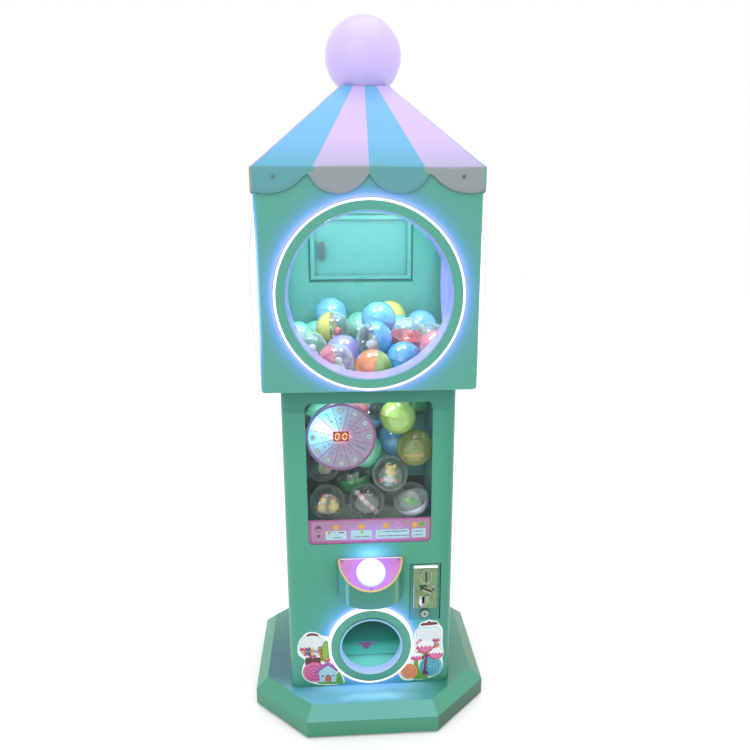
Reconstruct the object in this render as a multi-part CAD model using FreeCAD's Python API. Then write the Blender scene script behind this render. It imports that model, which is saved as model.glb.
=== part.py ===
import FreeCAD, Part
import math
import os

# Capsule toy machine. Millimetres; +Z up, +X to the right of a person facing it, front faces -Y.
# The origin is on the floor under the middle of the octagonal plinth.

# ---- driving dimensions -------------------------------------------------------------------------
FOOT_GAP = 6.0             # floor to the skirt's lower edge
SHEET = 2.5                # steel sheet of the column and hood
HEAD_SHEET = 3.0           # sheet of the head and plinth

BASE_HALF_W = 320.0
BASE_HALF_D = 300.0
BASE_FRONT_HALF = 173.5    # half the length of the front edge
BASE_SIDE_HALF = 162.0     # half the length of each side edge
SKIRT_TOP = 51.0
DECK_TOP = 79.0
BEVEL_INSET = 32.0

COLUMN_HALF_W = 220.0
COLUMN_HALF_D = 200.0
COLUMN_CORNER = 25.0
COLUMN_TOP = 931.0

WINDOW_HALF_W = 160.0
WINDOW_BOTTOM = 509.5
WINDOW_TOP = 891.7
WINDOW_CORNER = 13.0
STRIP_TOP = 578.0
CARD_THICK = 0.8
CARD_GAP = 0.4             # between the printed card and the window's edge
PANE = 3.0
PANE_LAP = 9.0

WHEEL_X = -71.5
WHEEL_Z = 800.5
WHEEL_R = 88.5
WHEEL_RIM = 5.0
WHEEL_FRONT_Y = -191.0
WHEEL_FACE_THICK = 3.0
HOUSING_BACK_Y = WHEEL_FRONT_Y + 38.0
DIGITS_HALF_W = 19.5
DIGITS_HALF_H = 13.0
DIGITS_Z = 802.7

HOOD_HALF_W = 85.5
HOOD_DEPTH = 70.8
HOOD_TOP = 467.5           # where the sloping plate meets the wall
HOOD_LIP = 408.8           # where it ends in front
HOOD_BOTTOM = 359.2
PLATE = 1.5
BUTTON_DOWN_SLOPE = 41.5   # button centre from the wall, along the slope
BUTTON_R = 38.5
DOME_R = 35.0
BARREL_R = 29.0
BARREL_WAY = 45.0          # half the opening for the barrel in the column's wall
BUTTON_TRAVEL = 4.0

DOOR_LEFT = 107.0          # coin door
DOOR_RIGHT = 185.8
DOOR_BOTTOM = 278.6
DOOR_TOP = 442.6
DOOR_PIVOT_X = 182.5
FACEPLATE_X = 147.2
FACEPLATE_W = 64.0
FACEPLATE_BOTTOM = 313.6
FACEPLATE_TOP = 440.6
SLOT_X = 148.7
SLOT_Z = 409.3
SLOT_W = 3.4
SLOT_H = 32.0
COIN_LOCK_X = 146.7
COIN_LOCK_Z = 297.1
LOCK_R = 13.0

OUTLET_X = 1.0
OUTLET_Z = 208.1
OUTLET_HALO_R = 115.2
OUTLET_COVER_R = 109.2
OUTLET_TUBE_R = 85.5
OUTLET_BORE_R = 80.0
OUTLET_PROUD = 12.0
OUTLET_TUBE_PROUD = 15.0
OUTLET_TUBE_LENGTH = 23.0

FLAP_Y = -139.0
FLAP_HINGE_Z = 290.0
FLAP_BOTTOM = 131.3
FLAP_HALF_W = 86.0
FLAP_THICK = 3.0

HEAD_HALF_W = 260.0
HEAD_HALF_D = 242.5
HEAD_BOTTOM = 931.0
HEAD_TOP = 1446.0
HEAD_CORNER = 9.0

RING_Z = 1161.5
RING_HALO_R = 225.0
RING_COVER_R = 217.0
RING_TUBE_R = 195.7
RING_BORE_R = 191.5
RING_PROUD = 16.0
FRONT_TUBE_LENGTH = 62.5
SIDE_TUBE_LENGTH = 40.0

EAVE_HALF_W = 265.0
EAVE_HALF_D = 247.5
EAVE_Z = 1452.0
VALANCE_BOTTOM = 1392.0
CUSP_Z = 1436.5
ROOF_TOP = 1649.0
ROOF_TOP_HALF = 59.5
ROOF_SHEET = 3.0
GLOBE_SEAT_R = 50.0

GLOBE_R = 95.0
GLOBE_Z = 1725.0
GLOBE_WALL = 3.0

CAPSULE_R = 47.5
CAPSULE_WALL = 1.5
VENT_R = 1.6

BIN_HALF_W = 172.0
BIN_BACK = 20.0
BIN_LIFT = 606.0           # lower edge of the bin's back wall, above a carried capsule
BIN_FLOOR = 556.0
DECK_Z = 492.0             # underside of the dispenser deck
DECK_SHEET = 3.0
ROTOR_Y = -36.0
ROTOR_R = 150.0
ROTOR_BOTTOM = 498.0
ROTOR_TOP = 546.0
POCKET_R = 50.5
POCKET_PITCH = 96.0
POCKETS = 5

REFILL_HALF_W = 153.0      # opening in the head's back wall
REFILL_BOTTOM = 1153.0
REFILL_TOP = 1344.0
SERVICE_HALF_W = 148.0     # opening in the column's back wall
SERVICE_BOTTOM = 150.0
SERVICE_TOP = 470.0
RUNNING_GAP = 0.06         # radial clearance of a pin in its hinge knuckle
DOOR_LAP = 7.0             # how far a back door covers the wall round its opening
BACK_PIN_R = 2.5
BACK_KNUCKLE_R = 5.0
BACK_PIN_STANDOFF = 6.0    # hinge axis behind the wall
BACK_PIN_BESIDE = 13.0     # hinge axis beyond the opening
RIM_WIDTH = 12.0
RIM_DEPTH = 10.0
REFILL_LOCK_X = -117.0
REFILL_LOCK_Z = 1258.0
SERVICE_LOCK_X = -118.0
SERVICE_LOCK_Z = 330.0

FRAME_HALF_W = 220.0       # welded frame under the deck
FRAME_HALF_D = 190.0
FRAME_BAR = 30.0
FRAME_BOTTOM = 56.0
FOOT_R = 24.0
FOOT_PAD = 10.0
STUD_R = 6.0
NUT_R = 11.0
NUT_HIGH = 9.0

SLOPE = math.atan2(HOOD_TOP - HOOD_LIP, HOOD_DEPTH)
COLLAR_HIGH = 4.0
BARREL_LENGTH = 44.0
BARREL_WALL = 3.0
GUIDE_R = 4.2              # hole that the plunger slides in
PLUNGER_R = 4.0
DOME_RISE = 17.0
LAMP_TUBE_R = 18.0
LEDGE = 1.5

DOOR_GAP = 1.2             # clearance round the coin door
DOOR_FRONT_Y = -COLUMN_HALF_D - 1.0
DOOR_BACK_Y = DOOR_FRONT_Y + SHEET
DOOR_PIVOT_Y = -COLUMN_HALF_D + 4.6
COIN_PIN_R = 2.0
COIN_KNUCKLE_R = 4.2
FACEPLATE_THICK = 3.0
FACEPLATE_Y = DOOR_FRONT_Y - FACEPLATE_THICK
LIP_PROUD = 4.0
LIP_HIGH = 5.0
BOSS_HALF_W = 14.7
BOSS_HALF_H = 21.2
BOSS_PROUD = 3.5
RETURN_LEFT = 129.5
RETURN_RIGHT = 158.8
RETURN_BOTTOM = 315.6
RETURN_TOP = 352.0
RETURN_DEPTH = 14.0
CUP_WALL = 2.0
LEVER_X = 150.5
LEVER_Z = 366.0
LEVER_HALF_W = 13.5
LEVER_PIN_R = 2.6
LEVER_REACH = 9.0
LEVER_WAY = 16.0
ENTRY_LEFT = 128.0         # opening in the door behind the faceplate
ENTRY_RIGHT = 170.0
CHECKER_LEFT = 130.0       # coin checker behind the door
CHECKER_RIGHT = 168.0
CHECKER_FRONT = 16.5
CHECKER_BACK = 46.0
LEVER_PIVOT_Y = DOOR_FRONT_Y + 2.0
LOCK_BODY_R = 9.0
LOCK_FACE = 4.0
LOCK_NUT_R = 12.5
LOCK_LENGTH = 14.0
SPINDLE_R = 3.0
CAM_REACH = 46.0
CAM_HALF_W = 8.0
COIN_BOX_LEFT = 112.0
COIN_BOX_RIGHT = 196.0
COIN_BOX_FRONT = -180.0
COIN_BOX_BACK = -60.0
COIN_BOX_TOP = 220.0
COIN_BOX_WALL = 2.0

COVER_SHEET = 2.0
HALO_BEVEL = 1.6
CHUTE_HALF_W = 92.0
CHUTE_FLOOR = 126.0
CHUTE_BACK = 121.0
CHUTE_SHEET = 2.0
CHUTE_TRAY_END = -60.0     # the floor slopes up from here
CHUTE_SLOPE_TOP = 262.0
CHUTE_ROOF_Y = -125.0
CHUTE_ROOF_Z = 305.0
CHUTE_NECK_Z = 424.0
FLAP_KNUCKLE_R = 4.5
FLAP_PIN_R = 2.0
ROTOR_SHAFT_R = 5.0
GUARD_GAP = 3.0            # between the rotor and its guard ring
GUARD_WALL = 2.0
ROTOR_CONE_R = 40.0
ROTOR_CONE_TOP_R = 12.0
ROTOR_CONE_HIGH = 22.0
MOTOR_R = 28.0
MOTOR_LENGTH = 38.0
GEARBOX_HALF_W = 38.0
GEARBOX_HIGH = 26.0
GEARBOX_FRONT = 30.0
GEARBOX_BACK = 16.0
BIN_SHEET = 2.0
BIN_FRONT = -COLUMN_HALF_D + SHEET + PANE + 0.2

FUNNEL_RISE = 22.0
INNER_GAP = 3.0            # between the head's walls and the boards inside it
VALANCE_CUSP_X = 139.5
VALANCE_CUSP_Y = 130.0
CORNER_LOBE_X = 228.0      # where the corner lobes hang lowest
CORNER_LOBE_Y = 212.0
LAMP_DISC_R = 56.0
LAMP_HOLDER_R = 16.0
LAMP_HOLDER_HIGH = 34.0
BULB_R = 24.0
BULB_HIGH = 52.0
BOARD_THICK = 3.0          # light board under the roof
BOARD_DROP = 8.0
BAR_HALF_W = 8.0
BAR_HIGH = 7.0
BAR_PLACES = (-180.0, -60.0, 60.0, 180.0)

VALANCE_SCREW_X = 212.5
VALANCE_SCREW_Z = 1428.0
VALANCE_SCREW_R = 4.0
RIM_SCREW_AT = 86.0
RIM_SCREW_R = 2.4
PLATE_SCREW_R = 3.0
PLATE_SCREWS = ((-74.0, 8.0), (74.0, 8.0), (0.0, 84.5))

INLET_X = 165.0
INLET_Z = 112.0
INLET_HALF_W = 23.5
INLET_HALF_H = 13.5
INLET_DEEP = 26.0
FLANGE_HALF_W = 29.0
FLANGE_HALF_H = 17.0
FLANGE_THICK = 2.5
SOCKET_HALF_W = 13.0
SOCKET_HALF_H = 9.0
SOCKET_DEEP = 16.0
CASE_DEEP = 34.0           # controller case on the left wall
CASE_Y = (-40.0, 110.0)
CASE_Z = (330.0, 460.0)
PLUG_Y = -30.0
PLUG_Z = 338.0
PLUG_PITCH = 34.0
PLUG_LONG = 22.0
PLUG_HIGH = 8.0
SUPPLY_X = (-205.0, -105.0)
SUPPLY_Y = (20.0, 150.0)
SUPPLY_HIGH = 42.0
FIN_FIRST_Y = 32.0
FIN_PITCH = 12.0
FIN_DEEP = 6.0

CLEARANCE = 0.6            # between capsules
FILL_STEP = 12
MOUTH_X = 30.0             # the bin's floor is kept free beyond here, over a rotor pocket
MOUTH_Y = -112.0
MOUTH_TOP = 655.0

FAR = 1000.0

X_AXIS = FreeCAD.Vector(1, 0, 0)
Y_AXIS = FreeCAD.Vector(0, 1, 0)
Z_AXIS = FreeCAD.Vector(0, 0, 1)


# ---- helpers ------------------------------------------------------------------------------------
def vec(x, y, z):
    return FreeCAD.Vector(x, y, z)


def block(x0, x1, y0, y1, z0, z1):
    """Box between two corners."""
    return Part.makeBox(x1 - x0, y1 - y0, z1 - z0, vec(x0, y0, z0))


def rod(radius, start, end):
    """Cylinder from one point to another."""
    along = end - start
    return Part.makeCylinder(radius, along.Length, start, along)


def tube(outer, inner, start, end):
    return rod(outer, start, end).cut(rod(inner, start, end))


def prism(points, travel):
    """Straight extrusion of a closed polygon."""
    face = Part.Face(Part.makePolygon(points + [points[0]]))
    return face.extrude(travel)


def rounded_box(x0, x1, y0, y1, z0, z1, radius, axis=Z_AXIS):
    """Box whose four edges along one axis are rounded."""
    box = block(x0, x1, y0, y1, z0, z1)
    edges = []
    for edge in box.Edges:
        direction = edge.Vertexes[1].Point - edge.Vertexes[0].Point
        if direction.cross(axis).Length < 1e-6:
            edges.append(edge)
    return box.makeFillet(radius, edges)


def fuse(shapes):
    return shapes[0].multiFuse(shapes[1:]).removeSplitter()


def save(node, shape):
    """Write one node; a list becomes a group of separate solids."""
    solids = shape if isinstance(shape, list) else [shape]
    flat = []
    for solid in solids:
        flat.extend(solid.Solids)
    for solid in flat:
        if not solid.isValid() or solid.Volume <= 0:
            raise ValueError(node + " has a bad solid")
    whole = flat[0] if len(flat) == 1 else Part.makeCompound(flat)
    whole.exportStep(os.path.join("parts", node + ".step"))


def octagon(inset, z):
    """Plinth outline moved inwards by inset, at height z."""
    half_w = BASE_HALF_W - inset
    half_d = BASE_HALF_D - inset
    run = BASE_HALF_W - BASE_FRONT_HALF
    rise = BASE_HALF_D - BASE_SIDE_HALF
    length = math.hypot(run, rise)
    reach = (rise * BASE_FRONT_HALF + run * BASE_HALF_D) / length - inset
    front = (reach * length - run * half_d) / rise
    side = (reach * length - rise * half_w) / run
    corners = [(front, -half_d), (half_w, -side), (half_w, side), (front, half_d),
               (-front, half_d), (-half_w, side), (-half_w, -side), (-front, -half_d)]
    return [vec(x, y, z) for x, y in corners]


def loft(lower, upper):
    wires = [Part.makePolygon(points + [points[0]]) for points in (lower, upper)]
    return Part.makeLoft(wires, True, True)


def rectangle(half_w, half_d, z):
    return [vec(-half_w, -half_d, z), vec(half_w, -half_d, z),
            vec(half_w, half_d, z), vec(-half_w, half_d, z)]


# ---- plinth -------------------------------------------------------------------------------------
def plinth_solid(inset, bottom, skirt_top, deck_top, deck_inset):
    skirt = loft(octagon(inset, bottom), octagon(inset, skirt_top))
    bevel = loft(octagon(inset, skirt_top), octagon(deck_inset, deck_top))
    return skirt.fuse(bevel).removeSplitter()


def base_plinth():
    outer = plinth_solid(0, FOOT_GAP, SKIRT_TOP, DECK_TOP, BEVEL_INSET)
    inner = plinth_solid(HEAD_SHEET, FOOT_GAP, SKIRT_TOP - 1.0, DECK_TOP - HEAD_SHEET,
                         BEVEL_INSET + HEAD_SHEET)
    return outer.cut(inner)


def base_frame():
    """Welded bars under the deck that carry the feet."""
    top = DECK_TOP - HEAD_SHEET
    frame = block(-FRAME_HALF_W, FRAME_HALF_W, -FRAME_HALF_D, FRAME_HALF_D, FRAME_BOTTOM, top)
    inside_w = FRAME_HALF_W - FRAME_BAR
    inside_d = FRAME_HALF_D - FRAME_BAR
    frame = frame.cut(block(-inside_w, inside_w, -inside_d, inside_d, FRAME_BOTTOM, top))
    middle = block(-FRAME_BAR / 2, FRAME_BAR / 2, -inside_d, inside_d, FRAME_BOTTOM, top)
    return frame.fuse(middle).removeSplitter()


def levelling_feet():
    feet = []
    for x in (-1, 1):
        for y in (-1, 1):
            centre_x = x * (FRAME_HALF_W - FRAME_BAR / 2)
            centre_y = y * (FRAME_HALF_D - FRAME_BAR / 2)
            pad = Part.makeCone(FOOT_R, FOOT_R - 4.0, FOOT_PAD, vec(centre_x, centre_y, 0))
            stud = rod(STUD_R, vec(centre_x, centre_y, FOOT_PAD - 1.0), vec(centre_x, centre_y, FRAME_BOTTOM))
            corners = []
            for i in range(6):
                angle = math.radians(60 * i)
                corners.append(vec(centre_x + NUT_R * math.cos(angle), centre_y + NUT_R * math.sin(angle),
                                   FRAME_BOTTOM - NUT_HIGH))
            nut = prism(corners, vec(0, 0, NUT_HIGH))
            feet.append(fuse([pad, stud, nut]))
    return feet


# ---- column -------------------------------------------------------------------------------------
def column_shell():
    outer = rounded_box(-COLUMN_HALF_W, COLUMN_HALF_W, -COLUMN_HALF_D, COLUMN_HALF_D,
                        DECK_TOP, COLUMN_TOP, COLUMN_CORNER)
    inner = rounded_box(-COLUMN_HALF_W + SHEET, COLUMN_HALF_W - SHEET,
                        -COLUMN_HALF_D + SHEET, COLUMN_HALF_D - SHEET,
                        DECK_TOP, COLUMN_TOP, COLUMN_CORNER - SHEET)
    wall_in = -COLUMN_HALF_D + 2 * SHEET
    wall_out = -COLUMN_HALF_D - 1
    window = rounded_box(-WINDOW_HALF_W, WINDOW_HALF_W, wall_out, wall_in,
                         WINDOW_BOTTOM, WINDOW_TOP, WINDOW_CORNER, Y_AXIS)
    outlet = rod(OUTLET_TUBE_R + 0.4, vec(OUTLET_X, wall_out, OUTLET_Z), vec(OUTLET_X, wall_in, OUTLET_Z))
    coin = block(DOOR_LEFT - DOOR_GAP, DOOR_RIGHT + DOOR_GAP + SHEET, wall_out, wall_in,
                 DOOR_BOTTOM - DOOR_GAP, DOOR_TOP + DOOR_GAP)
    button = block(-BARREL_WAY, BARREL_WAY, wall_out, wall_in, HOOD_BOTTOM + 20, HOOD_TOP - 12)
    service = block(-SERVICE_HALF_W, SERVICE_HALF_W, COLUMN_HALF_D - 2 * SHEET, COLUMN_HALF_D + 1,
                    SERVICE_BOTTOM, SERVICE_TOP)
    inlet = block(INLET_X - INLET_HALF_W - 0.5, INLET_X + INLET_HALF_W + 0.5, COLUMN_HALF_D - 2 * SHEET,
                  COLUMN_HALF_D + 1, INLET_Z - INLET_HALF_H - 0.5, INLET_Z + INLET_HALF_H + 0.5)
    shell = outer.cut(inner)
    for hole in (window, outlet, coin, button, service, inlet):
        shell = shell.cut(hole)
    return shell


def column_window_pane():
    back = -COLUMN_HALF_D + SHEET + PANE
    return rounded_box(-WINDOW_HALF_W - PANE_LAP, WINDOW_HALF_W + PANE_LAP, -COLUMN_HALF_D + SHEET, back,
                       WINDOW_BOTTOM - PANE_LAP, WINDOW_TOP + PANE_LAP, WINDOW_CORNER, Y_AXIS)


def instruction_strip():
    """Printed card on the front of the pane, along the window's lower edge."""
    half_w = WINDOW_HALF_W - CARD_GAP
    back = -COLUMN_HALF_D + SHEET
    card = rounded_box(-half_w, half_w, back - CARD_THICK, back, WINDOW_BOTTOM + CARD_GAP, WINDOW_TOP,
                       WINDOW_CORNER - CARD_GAP, Y_AXIS)
    above = block(-FAR, FAR, -FAR, FAR, STRIP_TOP, FAR)
    return card.cut(above)


# ---- prize wheel behind the pane ----------------------------------------------------------------
def wheel_point(y):
    return vec(WHEEL_X, y, WHEEL_Z)


def digits_block(y0, y1, grow):
    return block(WHEEL_X - DIGITS_HALF_W - grow, WHEEL_X + DIGITS_HALF_W + grow, y0, y1,
                 DIGITS_Z - DIGITS_HALF_H - grow, DIGITS_Z + DIGITS_HALF_H + grow)


def wheel_face():
    disc = rod(WHEEL_R - WHEEL_RIM, wheel_point(WHEEL_FRONT_Y), wheel_point(WHEEL_FRONT_Y + WHEEL_FACE_THICK))
    return disc.cut(digits_block(WHEEL_FRONT_Y - 1, WHEEL_FRONT_Y + 4, 0.3))


def wheel_rim():
    return tube(WHEEL_R, WHEEL_R - WHEEL_RIM, wheel_point(WHEEL_FRONT_Y - 1), wheel_point(WHEEL_FRONT_Y + 8))


def wheel_housing():
    """Open can behind the face that holds the lamps."""
    front = WHEEL_FRONT_Y + WHEEL_FACE_THICK
    outer = rod(WHEEL_R - WHEEL_RIM, wheel_point(front), wheel_point(HOUSING_BACK_Y))
    inner = rod(WHEEL_R - WHEEL_RIM - 2, wheel_point(front), wheel_point(HOUSING_BACK_Y - 2))
    return outer.cut(inner)


def digit_display():
    return digits_block(WHEEL_FRONT_Y - 0.8, WHEEL_FRONT_Y + 12, 0)


# ---- button hood --------------------------------------------------------------------------------
def on_slope(shape, down_slope):
    """Place a shape made about its own Z axis on the sloping plate, at the middle line."""
    y = -COLUMN_HALF_D - down_slope * math.cos(SLOPE)
    z = HOOD_TOP - down_slope * math.sin(SLOPE)
    shape.Placement = FreeCAD.Placement(vec(0, y, z), FreeCAD.Rotation(X_AXIS, math.degrees(SLOPE)))
    return shape


def half_ellipse(half_w, depth, z, back=0.0):
    """Face bounded by the wall line and a half ellipse in front of it."""
    centre = vec(0, -COLUMN_HALF_D, z)
    curve = Part.Ellipse(centre, half_w, depth)
    curve.XAxis = X_AXIS
    arc = Part.Arc(curve, math.pi, 2 * math.pi).toShape()
    left = vec(-half_w, -COLUMN_HALF_D, z)
    right = vec(half_w, -COLUMN_HALF_D, z)
    if back:
        left_back = left + vec(0, back, 0)
        right_back = right + vec(0, back, 0)
        edges = [arc, Part.makeLine(right, right_back), Part.makeLine(right_back, left_back),
                 Part.makeLine(left_back, left)]
    else:
        edges = [arc, Part.makeLine(right, left)]
    return Part.Face(Part.Wire(Part.__sortEdges__(edges)))


def under_slope(drop):
    """Everything that lies more than drop below the sloping plate's plane."""
    big = Part.makeBox(FAR, FAR, FAR, vec(-FAR / 2, -FAR / 2, -FAR - drop))
    return on_slope(big, 0)


def button_hood():
    height = HOOD_TOP + 10 - HOOD_BOTTOM
    outer = half_ellipse(HOOD_HALF_W, HOOD_DEPTH, HOOD_BOTTOM).extrude(vec(0, 0, height))
    outer = outer.common(under_slope(0))
    inner = half_ellipse(HOOD_HALF_W - SHEET, HOOD_DEPTH - SHEET, HOOD_BOTTOM + SHEET, 1.0)
    inner = inner.extrude(vec(0, 0, height)).common(under_slope(SHEET))
    wall = block(-FAR, FAR, -COLUMN_HALF_D, 0, 0, FAR)
    hole = on_slope(Part.makeCylinder(BARREL_R + 0.5, 40, vec(0, 0, -20)), BUTTON_DOWN_SLOPE)
    return outer.cut(inner).cut(hole).cut(wall)


def button_plate():
    """Printed plate on the hood's slope, with the same D shape."""
    length = math.hypot(HOOD_DEPTH, HOOD_TOP - HOOD_LIP)
    curve = Part.Ellipse(vec(0, 0, 0), length, HOOD_HALF_W)
    curve.XAxis = vec(0, -1, 0)
    arc = Part.Arc(curve, -math.pi / 2, math.pi / 2).toShape()
    line = Part.makeLine(vec(-HOOD_HALF_W, 0, 0), vec(HOOD_HALF_W, 0, 0))
    face = Part.Face(Part.Wire(Part.__sortEdges__([arc, line])))
    plate = on_slope(face.extrude(vec(0, 0, PLATE)), 0)
    hole = on_slope(Part.makeCylinder(BARREL_R + 0.5, 40, vec(0, 0, -20)), BUTTON_DOWN_SLOPE)
    wall = block(-FAR, FAR, -COLUMN_HALF_D, 0, 0, FAR)
    return plate.cut(hole).cut(wall)


def button_body():
    """Collar, barrel through the hood and a back plate that carries the switch."""
    inside = BARREL_R - BARREL_WALL
    depth = BARREL_LENGTH - BARREL_WALL
    collar = Part.makeCone(BUTTON_R, BUTTON_R - 2.0, COLLAR_HIGH, vec(0, 0, PLATE))
    barrel = Part.makeCylinder(BARREL_R, BARREL_LENGTH, vec(0, 0, PLATE - BARREL_LENGTH))
    bore = Part.makeCylinder(inside, depth, vec(0, 0, PLATE - depth))
    seat = Part.makeCylinder(DOME_R + 0.4, COLLAR_HIGH + 0.1, vec(0, 0, PLATE))
    guide = Part.makeCylinder(GUIDE_R, 10.0, vec(0, 0, PLATE - 50.0))
    floor = Part.makeCylinder(inside + 1.0, 6.0, vec(0, 0, PLATE - BARREL_LENGTH - BARREL_WALL))
    body = collar.fuse(barrel).cut(seat)
    body = body.cut(bore).fuse(floor).cut(guide)
    ledge = Part.makeCylinder(DOME_R + 1.0, LEDGE, vec(0, 0, PLATE))
    ledge = ledge.cut(Part.makeCylinder(inside, LEDGE, vec(0, 0, PLATE)))
    body = body.fuse(ledge).removeSplitter()
    return on_slope(body, BUTTON_DOWN_SLOPE)


def button_dome():
    """White cap with its plunger; it sits one travel above the ledge."""
    base = PLATE + LEDGE + BUTTON_TRAVEL + 0.3
    sphere_r = (DOME_R ** 2 + DOME_RISE ** 2) / (2 * DOME_RISE)
    ball = Part.makeSphere(sphere_r, vec(0, 0, base + DOME_RISE - sphere_r))
    cap = ball.common(Part.makeCylinder(DOME_R, DOME_RISE + 1, vec(0, 0, base)))
    plunger = Part.makeCylinder(PLUNGER_R, base + 46.0, vec(0, 0, -46.0))
    lamp_tube = Part.makeCylinder(LAMP_TUBE_R, base + 10.0, vec(0, 0, -10.0))
    return on_slope(fuse([cap, plunger, lamp_tube]), BUTTON_DOWN_SLOPE)


# ---- coin door ----------------------------------------------------------------------------------
def coin_door():
    """Sheet door with its hinge knuckle, cut out behind the faceplate and for the lock."""
    panel = block(DOOR_LEFT, DOOR_RIGHT, DOOR_FRONT_Y, DOOR_BACK_Y, DOOR_BOTTOM, DOOR_TOP)
    entry = block(ENTRY_LEFT, ENTRY_RIGHT, DOOR_FRONT_Y - 1, DOOR_BACK_Y + 1, FACEPLATE_BOTTOM + 1,
                  FACEPLATE_TOP - 8)
    lock = rod(LOCK_BODY_R + 0.1, vec(COIN_LOCK_X, DOOR_FRONT_Y - 1, COIN_LOCK_Z),
               vec(COIN_LOCK_X, DOOR_BACK_Y + 1, COIN_LOCK_Z))
    low = DOOR_BOTTOM + 4
    high = DOOR_TOP - 4
    knuckle = rod(COIN_KNUCKLE_R, vec(DOOR_PIVOT_X, DOOR_PIVOT_Y, low), vec(DOOR_PIVOT_X, DOOR_PIVOT_Y, high))
    web = block(DOOR_PIVOT_X - COIN_KNUCKLE_R, DOOR_PIVOT_X, DOOR_BACK_Y - 0.5, DOOR_PIVOT_Y, low, high)
    bore = rod(COIN_PIN_R + RUNNING_GAP, vec(DOOR_PIVOT_X, DOOR_PIVOT_Y, low - 1),
               vec(DOOR_PIVOT_X, DOOR_PIVOT_Y, high + 1))
    return fuse([panel, knuckle, web]).cut(entry).cut(lock).cut(bore)


def coin_faceplate():
    """Bright cast plate with the coin slot's oval boss and the return opening."""
    left = FACEPLATE_X - FACEPLATE_W / 2
    right = FACEPLATE_X + FACEPLATE_W / 2
    front = FACEPLATE_Y
    plate = rounded_box(left, right, front, DOOR_FRONT_Y, FACEPLATE_BOTTOM, FACEPLATE_TOP, 3.0, Y_AXIS)
    lip = rounded_box(left, right, front - LIP_PROUD, front + 0.5, FACEPLATE_TOP - LIP_HIGH, FACEPLATE_TOP,
                      1.5, X_AXIS)
    curve = Part.Ellipse(vec(SLOT_X, front, SLOT_Z + BOSS_HALF_H), vec(SLOT_X + BOSS_HALF_W, front, SLOT_Z),
                         vec(SLOT_X, front, SLOT_Z))
    boss = Part.Face(Part.Wire([curve.toShape()])).extrude(vec(0, -BOSS_PROUD, 0))
    slot = block(SLOT_X - SLOT_W / 2, SLOT_X + SLOT_W / 2, front - 10, DOOR_FRONT_Y + 1,
                 SLOT_Z - SLOT_H / 2, SLOT_Z + SLOT_H / 2)
    cup_way = block(RETURN_LEFT + CUP_WALL, RETURN_RIGHT - CUP_WALL, front - 1, DOOR_FRONT_Y + 1,
                    RETURN_BOTTOM + CUP_WALL, RETURN_TOP - CUP_WALL)
    lever_way = block(LEVER_X - LEVER_WAY, LEVER_X + LEVER_WAY, front - 1, DOOR_FRONT_Y + 1,
                      LEVER_Z - 12, LEVER_Z + 11)
    return fuse([plate, lip, boss]).cut(slot).cut(cup_way).cut(lever_way)


def coin_return_cup():
    """Small bin behind the faceplate that hands a rejected coin back."""
    front = DOOR_FRONT_Y
    back = front + RETURN_DEPTH
    outer = block(RETURN_LEFT + 0.2, RETURN_RIGHT - 0.2, front, back, RETURN_BOTTOM + 0.2, RETURN_TOP - 4)
    inner = block(RETURN_LEFT + CUP_WALL, RETURN_RIGHT - CUP_WALL, front - 1, back - 1.8,
                  RETURN_BOTTOM + CUP_WALL, RETURN_TOP - 4 - CUP_WALL)
    return outer.cut(inner)


def coin_mechanism():
    """Coin checker bolted behind the door, with its coin path open to the slot."""
    y0 = DOOR_BACK_Y
    body = block(CHECKER_LEFT, CHECKER_RIGHT, y0 + CHECKER_FRONT, y0 + CHECKER_BACK, RETURN_TOP + 22,
                 FACEPLATE_TOP - 9)
    chute = block(SLOT_X - 5, SLOT_X + 5, y0, y0 + CHECKER_FRONT + 0.5, SLOT_Z - SLOT_H / 2 - 3,
                  SLOT_Z + SLOT_H / 2 + 3)
    path = block(SLOT_X - SLOT_W / 2, SLOT_X + SLOT_W / 2, y0 - 1, y0 + 40,
                 SLOT_Z - SLOT_H / 2, SLOT_Z + SLOT_H / 2)
    return fuse([body, chute]).cut(path)


def reject_lever():
    """Slanting bar on a cross pin; its outer end tips down."""
    front = DOOR_FRONT_Y - LEVER_REACH
    left = LEVER_X - LEVER_HALF_W
    right = LEVER_X + LEVER_HALF_W
    outline = [vec(left, front, LEVER_Z + 4.0), vec(right, front, LEVER_Z - 8.0),
               vec(right, front, LEVER_Z - 2.5), vec(left, front, LEVER_Z + 9.5)]
    nose = prism(outline, vec(0, 10.0, 0))
    pin = rod(LEVER_PIN_R, vec(left, LEVER_PIVOT_Y, LEVER_Z), vec(right, LEVER_PIVOT_Y, LEVER_Z))
    return fuse([nose, pin])


def lock_barrel(x, z, face_y, inward):
    """Cam lock housing: round face, threaded body and nut. inward is +1 or -1 along Y."""
    def at(depth):
        return vec(x, face_y + inward * depth, z)
    face = rod(LOCK_R, at(-LOCK_FACE), at(0))
    body = rod(LOCK_BODY_R, at(0), at(LOCK_LENGTH))
    nut = rod(LOCK_NUT_R, at(SHEET + 0.2), at(SHEET + 5.0))
    keyway = block(x - 0.9, x + 0.9, min(at(-5).y, at(8).y), max(at(-5).y, at(8).y), z - 4.0, z + 4.0)
    spindle = rod(SPINDLE_R + RUNNING_GAP, at(LOCK_LENGTH - 8.0), at(LOCK_LENGTH + 1))
    return fuse([face, body, nut]).cut(keyway).cut(spindle)


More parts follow.
